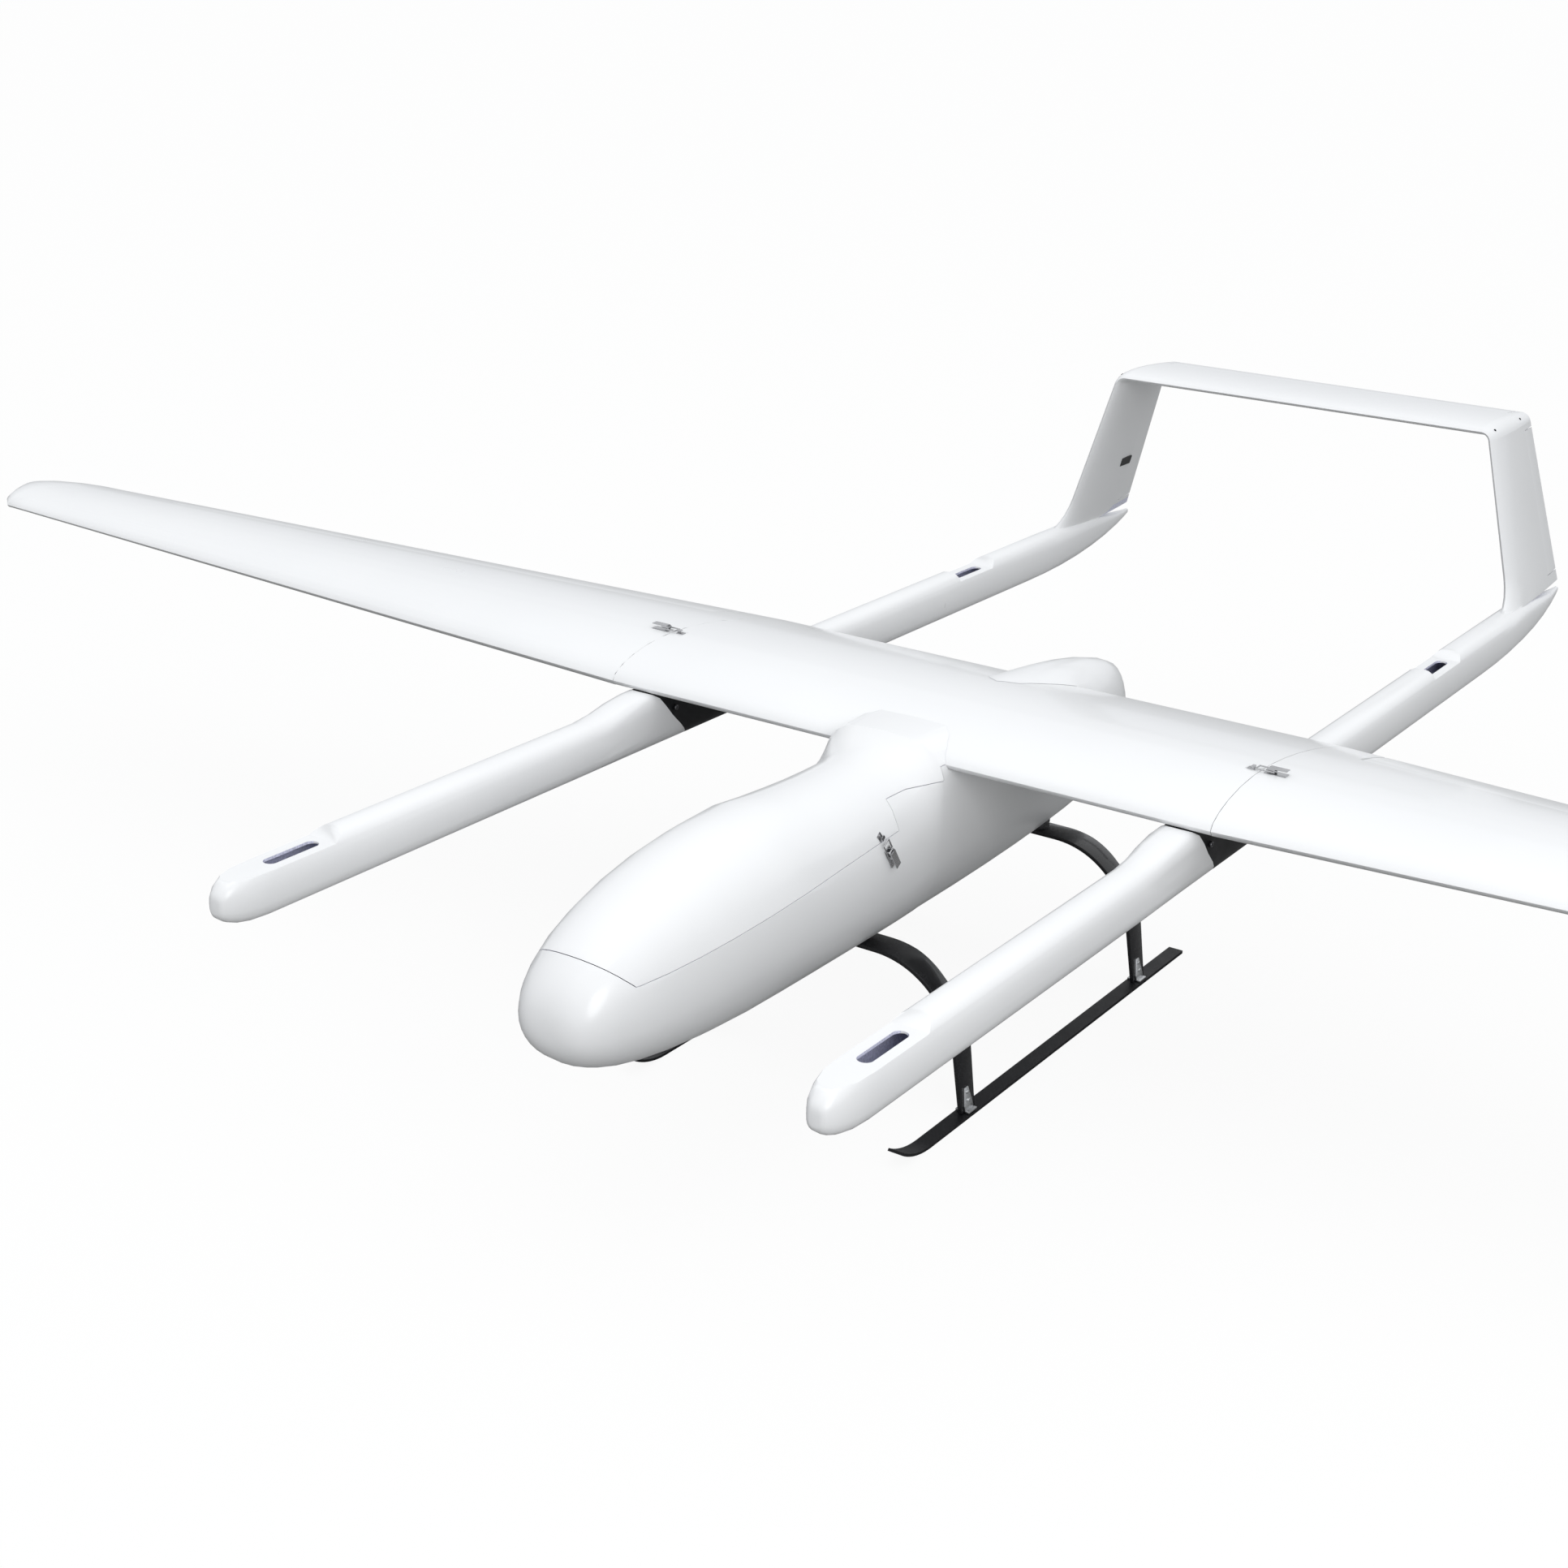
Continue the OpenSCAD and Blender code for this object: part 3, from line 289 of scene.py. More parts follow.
@dataclass(frozen=True)
class Gelcoat:
    """White moulded skin with a faint orange peel; inner faces in bare laminate, painted pale
    blue-grey as a reflection of the sky.
    """

    name: str
    inside: Inside = Inside.NONE
    white: Colour = (0.90, 0.905, 0.91)
    shade: Colour = (0.865, 0.87, 0.878)
    roughness: float = 0.30
    swing: Swing = (-0.06, 0.07)
    ior: float = 1.48
    coat: float = 0.35
    coat_roughness: float = 0.10
    cloud: float = 2.2
    peel: float = 240.0
    peel_depth: float = 0.0006
    # painted reflection: the lining's pale blue-grey stands in for the sky reflected in dark laminate
    laminate: Colour = (0.62, 0.63, 0.75)
    fibre: float = 420.0
    fibre_lift: float = 1.3
    facing_limit: float = -0.002
    pod_axis: Point = (0.0, 0.0, 0.338)
    boom_x: float = 0.446
    boom_z: float = 0.395
    boom_reach: float = 0.046

    def axis(self) -> Vector:
        """Finds the middle line of the shell.

        Returns:
            A point of the line, in the shell's cross-section.
        """
        if self.inside is Inside.POD:
            return Vector(self.pod_axis)
        sign = 1 if self.inside is Inside.LEFT_BOOM else -1
        return Vector((sign * self.boom_x, 0, self.boom_z))

    def inner_mask(self, net: Net) -> bpy.types.NodeSocket:
        """Value that is 1 on faces that look towards the shell's middle line.

        Args:
            net: The material's tree.

        Returns:
            The mask.
        """
        plain, vector = "ShaderNodeMath", "ShaderNodeVectorMath"
        coords = net.add("ShaderNodeTexCoord").outputs
        away = net.compute(vector, "SUBTRACT", coords["Object"], self.axis()).outputs["Vector"]
        flat = net.compute(vector, "MULTIPLY", away, (1, 0, 1)).outputs["Vector"]
        facing = net.compute(vector, "DOT_PRODUCT", flat, coords["Normal"]).outputs["Value"]
        mask = net.compute(plain, "LESS_THAN", facing, self.facing_limit).outputs["Value"]
        if self.inside is Inside.POD:
            return mask
        reach = net.compute(vector, "LENGTH", flat).outputs["Value"]
        near = net.compute(plain, "LESS_THAN", reach, self.boom_reach).outputs["Value"]
        return net.compute(plain, "MULTIPLY", mask, near).outputs["Value"]

    def build(self) -> bpy.types.Material:
        """Makes the material.

        Returns:
            The finished material.
        """
        net = Net(self.name)
        shader = net.principled(self.roughness)
        shader.inputs["IOR"].default_value = self.ior
        shader.inputs["Coat Weight"].default_value = self.coat
        shader.inputs["Coat Roughness"].default_value = self.coat_roughness
        tone = net.ramp(net.noise(self.cloud, 3), 0.35, 0.7, self.white, self.shade)
        # inner faces: bare laminate tone, lightened and blued as a painted reflection of the sky
        if self.inside is not Inside.NONE:
            light = scaled(self.laminate, self.fibre_lift)
            weave = net.ramp(net.noise(self.fibre, 1), 0.4, 0.6, self.laminate, light)
            tone = net.blend(self.inner_mask(net), tone, weave)
        net.link(tone, shader.inputs["Base Color"])
        net.wear(shader, net.noise(9, 3), self.roughness, self.swing)
        net.bump(net.noise(self.peel, 1), 0.05, self.peel_depth, shader)
        return net.material


@dataclass(frozen=True)
class CarbonLaminate:
    """Black woven laminate under a clear coat."""

    name: str
    tow: float = 0.0022
    dark: Colour = (0.004, 0.004, 0.005)
    light: Colour = (0.011, 0.011, 0.013)
    roughness: float = 0.22
    swing: Swing = (-0.06, 0.14)
    coat: float = 0.4
    coat_roughness: float = 0.06
    specular: float = 0.35
    turn: Point = (45, 45, 45)

    def build(self) -> bpy.types.Material:
        """Makes the material.

        Returns:
            The finished material.
        """
        net = Net(self.name)
        shader = net.principled(self.roughness)
        shader.inputs["Specular IOR Level"].default_value = self.specular
        shader.inputs["Coat Weight"].default_value = self.coat
        shader.inputs["Coat Roughness"].default_value = self.coat_roughness
        weave = net.add("ShaderNodeTexChecker")
        weave.inputs["Scale"].default_value = 1 / self.tow
        net.link(net.stretched((1, 1, 1), self.turn), weave.inputs["Vector"])
        tone = net.ramp(weave.outputs["Fac"], 0.2, 0.8, self.dark, self.light)
        net.link(tone, shader.inputs["Base Color"])
        net.wear(shader, net.noise(30, 4), self.roughness, self.swing)
        net.bump(weave.outputs["Fac"], 0.06, 0.0001, shader)
        return net.material


@dataclass(frozen=True)
class Metal:
    """Bare metal with fine run marks along one direction."""

    name: str
    colour: Colour
    roughness: float
    run: Point = (40, 900, 900)
    swing: Swing = (-0.08, 0.12)
    dim: float = 0.82

    def build(self) -> bpy.types.Material:
        """Makes the material.

        Returns:
            The finished material.
        """
        net = Net(self.name)
        shader = net.principled(self.roughness, 1.0)
        marks = net.noise(1.0, 3, net.stretched(self.run))
        tone = net.ramp(net.noise(60, 3), 0.3, 0.75, scaled(self.colour, self.dim), self.colour)
        net.link(tone, shader.inputs["Base Color"])
        net.wear(shader, marks, self.roughness, self.swing)
        net.bump(marks, 0.12, 0.00008, shader)
        return net.material


@dataclass(frozen=True)
class Plywood:
    """Light plywood with long grain."""

    name: str
    early: Colour = (0.66, 0.49, 0.30)
    late: Colour = (0.50, 0.34, 0.19)
    grain: Point = (14, 2, 14)
    bands: float = 2.4
    wander: float = 7.0
    roughness: float = 0.62
    swing: Swing = (-0.08, 0.10)

    def build(self) -> bpy.types.Material:
        """Makes the material.

        Returns:
            The finished material.
        """
        net = Net(self.name)
        shader = net.principled(self.roughness)
        wave = net.add("ShaderNodeTexWave", wave_type="BANDS", bands_direction="DIAGONAL")
        wave.inputs["Scale"].default_value = self.bands
        wave.inputs["Distortion"].default_value = self.wander
        wave.inputs["Detail"].default_value = 3.0
        net.link(net.stretched(self.grain), wave.inputs["Vector"])
        tone = net.ramp(wave.outputs["Fac"], 0.25, 0.9, self.early, self.late)
        net.link(tone, shader.inputs["Base Color"])
        net.wear(shader, net.noise(70, 3), self.roughness, self.swing)
        net.bump(wave.outputs["Fac"], 0.12, 0.0002, shader)
        return net.material


@dataclass(frozen=True)
class Moulded:
    """Moulded plastic or shrink film with a fine grain."""

    name: str
    colour: Colour
    roughness: float
    grain: float = 900.0
    depth: float = 0.0001
    swing: Swing = (-0.06, 0.08)
    lift: float = 1.5

    def build(self) -> bpy.types.Material:
        """Makes the material.

        Returns:
            The finished material.
        """
        net = Net(self.name)
        shader = net.principled(self.roughness)
        tone = net.ramp(net.noise(35, 3), 0.3, 0.75, self.colour, scaled(self.colour, self.lift))
        net.link(tone, shader.inputs["Base Color"])
        net.wear(shader, net.noise(55, 2), self.roughness, self.swing)
        net.bump(net.noise(self.grain, 2), 0.2, self.depth, shader)
        return net.material


@dataclass(frozen=True)
class Webbing:
    """Woven strap with ribs across its width."""

    name: str
    colour: Colour = (0.018, 0.018, 0.020)
    rib: float = 0.0012
    bands_per_rib: float = 0.32
    lift: float = 2.4
    roughness: float = 0.8
    sheen: float = 0.3

    def build(self) -> bpy.types.Material:
        """Makes the material.

        Returns:
            The finished material.
        """
        net = Net(self.name)
        shader = net.principled(self.roughness)
        shader.inputs["Sheen Weight"].default_value = self.sheen
        weave = net.add("ShaderNodeTexWave", wave_type="BANDS", bands_direction="X")
        weave.inputs["Scale"].default_value = self.bands_per_rib / self.rib
        net.link(net.object_coords(), weave.inputs["Vector"])
        tone = net.ramp(weave.outputs["Fac"], 0.2, 0.8, self.colour, scaled(self.colour, self.lift))
        net.link(tone, shader.inputs["Base Color"])
        net.bump(weave.outputs["Fac"], 0.4, 0.0002, shader)
        return net.material


class Finish:
    """The airframe's finishes, each made once."""

    def __init__(self) -> None:
        """Builds every material."""
        self.gelcoat = Gelcoat("gelcoat").build()
        self.pod_skin = Gelcoat("gelcoat_pod", Inside.POD).build()
        self.boom_skin = {
            Side.LEFT: Gelcoat("gelcoat_left_boom", Inside.LEFT_BOOM).build(),
            Side.RIGHT: Gelcoat("gelcoat_right_boom", Inside.RIGHT_BOOM).build(),
        }
        self.carbon = CarbonLaminate("carbon").build()
        self.satin_carbon = CarbonLaminate("carbon_satin", light=(0.008, 0.008, 0.010), roughness=0.42,
                                           coat=0.0, specular=0.25).build()
        self.aluminium = Metal("aluminium", (0.72, 0.73, 0.74), 0.34).build()
        self.steel = Metal("steel", (0.58, 0.58, 0.59), 0.24).build()
        self.dark_screw = Metal("screw_black", (0.045, 0.045, 0.05), 0.38).build()
        self.grey_bolt = Metal("bolt_grey", (0.20, 0.20, 0.21), 0.36).build()
        self.plywood = Plywood("plywood").build()
        self.film = Moulded("pack_film", (0.016, 0.028, 0.075), 0.30, 120.0, 0.0003).build()
        self.black = Moulded("black_plastic", (0.013, 0.013, 0.014), 0.45).build()
        # black sheet in the wing joints: painted shade in the gap
        self.rubber = Moulded("seal_rubber", (0.010, 0.010, 0.011), 0.75, 1400.0).build()
        self.webbing = Webbing("webbing").build()


def new_piece(name: str, bm: bmesh.types.BMesh, material: bpy.types.Material, body: str,
              sharp: float = 35.0) -> bpy.types.Object:
    """Turns a finished bmesh into a piece that rides on a body.

    Args:
        name: Name of the piece.
        bm: The shape; it is freed.
        material: Its finish.
        body: The body it moves with.
        sharp: Edges that bend more than this stay sharp, in degrees.

    Returns:
        The new object.
    """
    limit = math.radians(sharp)
    for face in bm.faces:
        face.smooth = True
    for edge in bm.edges:
        edge.smooth = len(edge.link_faces) == 2 and edge.calc_face_angle(0.0) < limit
    mesh = bpy.data.meshes.new(name)
    bm.to_mesh(mesh)
    bm.free()
    mesh.materials.append(material)
    piece = bpy.data.objects.new(name, mesh)
    bpy.context.scene.collection.objects.link(piece)
    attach(piece, body)
    LOG.info("%s: %d faces on %s", name, len(mesh.polygons), body)
    return piece


@dataclass
class Assembly:
    """A group of pieces with their finishes."""

    finish: Finish
    bodies: dict[str, str]
    slots: dict[str, str]

    def dress(self, nodes: Iterable[str], material: bpy.types.Material) -> None:
        """Gives solids that are right as they are their finish.

        Args:
            nodes: The solids' names.
            material: The finish.
        """
        for node in nodes:
            mesh = frame["nodes"][node].data
            mesh.materials.clear()
            mesh.materials.append(material)
            LOG.info("%s: dressed in %s", node, material.name)

    def skin(self, node: str, material: bpy.types.Material, sharp: float = 40.0) -> bpy.types.Object:
        """Replaces a solid by a merged copy that shades as one smooth surface.

        Args:
            node: The solid's name.
            material: The finish.
            sharp: Edges that bend more than this stay sharp, in degrees.

        Returns:
            The copy.
        """
        bm = bmesh.new()
        bm.from_mesh(frame["nodes"][node].data)
        bmesh.ops.remove_doubles(bm, verts=bm.verts, dist=MERGE_DIST)
        bmesh.ops.dissolve_limit(bm, angle_limit=FLAT_ANGLE, use_dissolve_boundaries=False,
                                 verts=bm.verts, edges=bm.edges, delimit=set())
        piece = new_piece(f"{node}_skin", bm, material, self.bodies[node], sharp)
        weighted = piece.modifiers.new("even_shading", "WEIGHTED_NORMAL")
        weighted.mode = "FACE_AREA"
        weighted.keep_sharp = True
        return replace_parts(piece, node)


def round_edges(bm: bmesh.types.BMesh, edges: list[bmesh.types.BMEdge], offset: float,
                segments: int = 2) -> None:
    """Rounds edges off.

    Args:
        bm: The mesh.
        edges: The edges.
        offset: How far the rounding reaches from each edge.
        segments: Number of faces across it.
    """
    bmesh.ops.bevel(bm, geom=edges, offset=offset, segments=segments, profile=0.5, affect="EDGES",
                    material=-1)


def screw(bm: bmesh.types.BMesh, place: Vector, axis: Vector, radius: float, height: float) -> None:
    """Adds a button-head screw with a socket.

    Args:
        bm: The mesh to add to.
        place: Middle of the head's seat.
        axis: Direction out of the surface.
        radius: Radius of the head.
        height: Height of the head.
    """
    turn = UP.rotation_difference(axis).to_matrix().to_4x4()
    stand = Matrix.Translation(place) @ turn @ Matrix.Translation((0, 0, height / 2))
    made = bmesh.ops.create_cone(bm, cap_ends=True, segments=HEAD_SEGMENTS, radius1=radius,
                                 radius2=radius, depth=height, matrix=stand)
    verts = set(made["verts"])
    middle = place + axis * (height / 2)
    rim = [e for e in bm.edges if set(e.verts) <= verts
           and all((v.co - middle).dot(axis) > height * 0.4 for v in e.verts)]
    round_edges(bm, rim, height * HEAD_ROUND, 3)
    top = max((f for f in bm.faces if all((v.co - place).length < 3 * radius for v in f.verts)),
              key=lambda f: (f.calc_center_median() - place).dot(axis))
    bmesh.ops.inset_individual(bm, faces=[top], thickness=radius * SOCKET_RIM, depth=0)
    bmesh.ops.inset_individual(bm, faces=[top], thickness=radius * SOCKET_TAPER,
                               depth=-height * SOCKET_DEPTH)


def seat(node: str, start: Vector, way: Vector) -> tuple[Vector, Vector]:
    """Finds where a straight line first meets a solid.

    Args:
        node: The solid's name.
        start: Where the line starts.
        way: Its direction.

    Returns:
        The place, and the direction out of the surface there.
    """
    mesh = frame["nodes"][node].data
    tree = BVHTree.FromPolygons([v.co for v in mesh.vertices], [f.vertices for f in mesh.polygons])
    place, normal, _, _ = tree.ray_cast(start, way)
    return place, normal


@dataclass
class Fuselage(Assembly):
    """The pod with its hatch, frames and equipment."""

    strap_width: float = 0.022
    strap_thick: float = 0.0016
    strap_places: tuple[float, ...] = (0.045, 0.12)
    strap_round: float = 0.004
    strap_fill: float = 0.8

    def build(self) -> None:
        """Dresses the pod and ties the packs down."""
        self.skin("fuselage_shell", self.finish.pod_skin)
        self.skin("front_hatch", self.finish.pod_skin)
        self.dress(("formers", "equipment_tray"), self.finish.plywood)
        self.dress(("battery_packs",), self.finish.film)
        self.dress(("autopilot",), self.finish.black)
        self.dress(("firewall",), self.finish.carbon)
        for index, offset in enumerate(self.strap_places):
            self.strap(index, offset)

    def strap(self, index: int, offset: float) -> None:
        """Lays a strap over both packs.

        Args:
            index: Number of the strap.
            offset: Its distance behind the packs' front.
        """
        low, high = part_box("battery_packs")
        thick = self.strap_thick
        bm = bmesh.new()
        size = (high.x - low.x + 2 * thick, self.strap_width, high.z - low.z + thick)
        centre = Matrix.Translation((0, low.y + offset, (low.z + high.z + thick) / 2))
        bmesh.ops.create_cube(bm, size=1.0, matrix=centre @ Matrix.Diagonal((*size, 1)))
        ends = [f for f in bm.faces if abs(f.normal.y) > FACING or f.normal.z < -FACING]
        bmesh.ops.delete(bm, geom=ends, context="FACES")
        round_edges(bm, [e for e in bm.edges if len(e.link_faces) == 2], self.strap_round, 4)
        bmesh.ops.solidify(bm, geom=bm.faces[:], thickness=thick * self.strap_fill)
        bmesh.ops.recalc_face_normals(bm, faces=bm.faces)
        new_piece(f"pack_strap_{index}", bm, self.finish.webbing, AIRFRAME)


@dataclass
class Wing(Assembly):
    """Centre section, outer panels, ailerons and their drives."""

    # the black sheet in each panel joint paints the shade in the gap
    seal_x: float = 0.49505
    seal_thick: float = 0.0005
    seal_inset: float = 0.00015
    section_x: float = 0.4972
    tubes: tuple[Point, ...] = ((-0.26356, 0.46741, 0.0146), (-0.1122, 0.46225, 0.0086))
    hole_segments: int = 40
    cover_screw_places: tuple[tuple[float, float], ...] = (
        (0.8665, -0.2050), (0.9225, -0.2070), (0.8730, -0.1545), (0.9285, -0.1560))
    below_z: float = 0.40
    screw_r: float = 0.0023
    screw_h: float = 0.0011

    def build(self) -> None:
        """Dresses the wing, fills its joints with black sheets of painted shade and screws its covers
        down.
        """
        for node in ("wing_centre", "left_wing", "left_aileron", "right_wing", "right_aileron",
                     "servo_covers"):
            self.skin(node, self.finish.gelcoat)
        self.dress(("centre_ribs", "panel_ribs"), self.finish.plywood)
        self.dress(("spar_tubes",), self.finish.carbon)
        self.dress(("wing_servos", "left_servo_arm", "right_servo_arm"), self.finish.black)
        self.dress(("left_pushrod", "right_pushrod", "hinge_pins"), self.finish.steel)
        for side in Side:
            self.seal(side)
        self.cover_screws()

    def section(self, side: Side) -> bmesh.types.BMesh:
        """Cuts the outline of a panel near its root.

        Args:
            side: The panel's side.

        Returns:
            A bmesh that holds only the outline's edges.
        """
        bm = bmesh.new()
        bm.from_mesh(frame["nodes"][f"{side.word}_wing"].data)
        bmesh.ops.remove_doubles(bm, verts=bm.verts, dist=MERGE_DIST)
        bmesh.ops.bisect_plane(bm, geom=bm.verts[:] + bm.edges[:] + bm.faces[:], dist=1e-6,
                               plane_co=(side.value * self.section_x, 0, 0), plane_no=(1, 0, 0),
                               clear_inner=True, clear_outer=True)
        tip = min(bm.verts, key=lambda v: v.co.y)
        outline = {tip}
        front = [tip]
        while front:
            vert = front.pop()
            fresh = [e.other_vert(vert) for e in vert.link_edges if e.other_vert(vert) not in outline]
            outline.update(fresh)
            front.extend(fresh)
        bmesh.ops.delete(bm, geom=[v for v in bm.verts if v not in outline], context="VERTS")
        return bm

    def seal(self, side: Side) -> None:
        """Fits a black sheet of painted shade into the joint between a panel and the centre section,
        open for the tubes.

        Args:
            side: The panel's side.
        """
        bm = self.section(side)
        plate = bmesh.ops.edgeloop_fill(bm, edges=bm.edges)["faces"]
        bmesh.ops.inset_region(bm, faces=plate, thickness=self.seal_inset, use_even_offset=True,
                               use_boundary=True)
        rim = [f for f in bm.faces if f not in plate]
        bmesh.ops.delete(bm, geom=rim, context="FACES")
        bmesh.ops.delete(bm, geom=bm.faces[:], context="FACES_ONLY")
        across = Matrix.Rotation(math.radians(90), 4, "Y")
        for y, z, radius in self.tubes:
            place = Matrix.Translation((side.value * self.section_x, y, z))
            bmesh.ops.create_circle(bm, cap_ends=False, segments=self.hole_segments, radius=radius,
                                    matrix=place @ across)
        bmesh.ops.triangle_fill(bm, use_beauty=True, edges=bm.edges)
        start = side.value * (self.seal_x - self.section_x)
        bmesh.ops.translate(bm, verts=bm.verts, vec=(start, 0, 0))
        made = bmesh.ops.extrude_face_region(bm, geom=bm.faces[:], use_keep_orig=True)
        far = [g for g in made["geom"] if isinstance(g, bmesh.types.BMVert)]
        bmesh.ops.translate(bm, verts=far, vec=(side.value * self.seal_thick, 0, 0))
        bmesh.ops.recalc_face_normals(bm, faces=bm.faces)
        # black sheet of painted shade in the joint
        new_piece(f"{side.word}_panel_seal", bm, self.finish.rubber, AIRFRAME)

    def cover_screws(self) -> None:
        """Screws the servo covers down from below."""
        bm = bmesh.new()
        for side in Side:
            for x, y in self.cover_screw_places:
                place, normal = seat("servo_covers", Vector((side.value * x, y, self.below_z)), UP)
                screw(bm, place, normal, self.screw_r, self.screw_h)
        new_piece("wing_cover_screws", bm, self.finish.dark_screw, AIRFRAME)


@dataclass
class Booms(Assembly):
    """Front and tail booms, carriers and tubes."""

    bolt_y: float = -0.338
    bolt_z: float = 0.413
    bolt_r: float = 0.0044
    bolt_h: float = 0.0028
    axis_x: float = 0.446
    axis_z: float = 0.395
    half_w: float = 0.0285
    half_h: float = 0.0395
    shoulder_y: tuple[float, float] = (-0.520, -0.400)
    round_power: float = 2.6
    square_power: float = 6.0
    lip_y: float = -0.360
    lip_z: float = 0.424
    lip_share: float = 0.76

    def build(self) -> None:
        """Dresses the booms and bolts the carriers."""
        bm = bmesh.new()
        for side in Side:
            self.shoulder(self.skin(f"{side.word}_front_boom", self.finish.boom_skin[side]), side)
            self.skin(f"{side.word}_tail_boom", self.finish.boom_skin[side])
            self.tuck(self.skin(f"{side.word}_boom_carrier", self.finish.satin_carbon), side)
            low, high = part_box(f"{side.word}_boom_carrier")
            for x, way in ((low.x, -1), (high.x, 1)):
                place = Vector((x, self.bolt_y, self.bolt_z))
                screw(bm, place, Vector((way, 0, 0)), self.bolt_r, self.bolt_h)
        self.dress(("boom_tubes",), self.finish.carbon)
        new_piece("carrier_bolts", bm, self.finish.grey_bolt, AIRFRAME)

    def shoulder(self, piece: bpy.types.Object, side: Side) -> None:
        """Squares the upper corners of a front boom up where it meets the wing.

        Args:
            piece: The boom's skin.
            side: The boom's side.
        """
        start, end = self.shoulder_y
        centre = side.value * self.axis_x
        for vert in piece.data.vertices:
            share = min(max((vert.co.y - start) / (end - start), 0.0), 1.0)
            across = (vert.co.x - centre) / self.half_w
            height = (vert.co.z - self.axis_z) / self.half_h
            if share == 0.0 or height <= 0.0:
                continue
            share = share * share * (3 - 2 * share)
            power = self.round_power + share * (self.square_power - self.round_power)
            swell = self.reach(across, height, power) / self.reach(across, height, self.round_power)
            vert.co.x = centre + across * self.half_w * swell
            vert.co.z = self.axis_z + height * self.half_h * swell

    def tuck(self, piece: bpy.types.Object, side: Side) -> None:
        """Draws the front lip of a carrier in, so that it stays behind the boom's shoulder.

        Args:
            piece: The carrier's skin.
            side: The carrier's side.
        """
        centre = side.value * self.axis_x
        for vert in piece.data.vertices:
            if vert.co.y < self.lip_y and vert.co.z > self.lip_z:
                vert.co.x = centre + (vert.co.x - centre) * self.lip_share

    def reach(self, across: float, height: float, power: float) -> float:
        """Radius of a rounded box's outline in one direction.

        Args:
            across: Sideways part of the direction.
            height: Upward part of the direction.
            power: How square the outline is; 2 is a circle.

        Returns:
            The radius, 1 along the two axes.
        """
        size = math.hypot(across, height)
        return (abs(across / size) ** power + abs(height / size) ** power) ** (-1 / power)


@dataclass
class Tail(Assembly):
    """Stabilizer, elevator, rudders and the bent corners."""

    cap_screws: tuple[tuple[Point, Point], ...] = (
        ((0.3654, 1.0219, 0.7388), (0.65, -0.13, 0.75)),
        ((0.3650, 1.1624, 0.7364), (0.75, 0.08, 0.66)),
    )
    cover_x: tuple[float, float] = (0.0485, 0.1015)
    cover_y: tuple[float, float] = (1.0770, 1.1260)
    below_z: float = 0.68
    standoff: float = 0.02
    screw_r: float = 0.0023
    screw_h: float = 0.0011

    def build(self) -> None:
        """Dresses the tail and adds its screws."""
        for node in ("stabilizer", "elevator", "fin_caps", "left_rudder", "right_rudder"):
            self.skin(node, self.finish.gelcoat)
        self.dress(("fin_plates", "elevator_servo", "elevator_arm"), self.finish.black)
        self.dress(("elevator_pushrod",), self.finish.steel)
        self.screws()

    def screws(self) -> None:
        """Screws the bent corners and the servo cover down."""
        bm = bmesh.new()
        for side in Side:
            mirror = Vector((side.value, 1, 1))
            for spot, out in self.cap_screws:
                axis = (Vector(out) * mirror).normalized()
                start = Vector(spot) * mirror + axis * self.standoff
                place, normal = seat("fin_caps", start, -axis)
                screw(bm, place, normal, self.screw_r, self.screw_h)
        for x in self.cover_x:
            for y in self.cover_y:
                place, normal = seat("servo_covers", Vector((x, y, self.below_z)), UP)
                screw(bm, place, normal, self.screw_r, self.screw_h)
        new_piece("tail_screws", bm, self.finish.dark_screw, AIRFRAME)


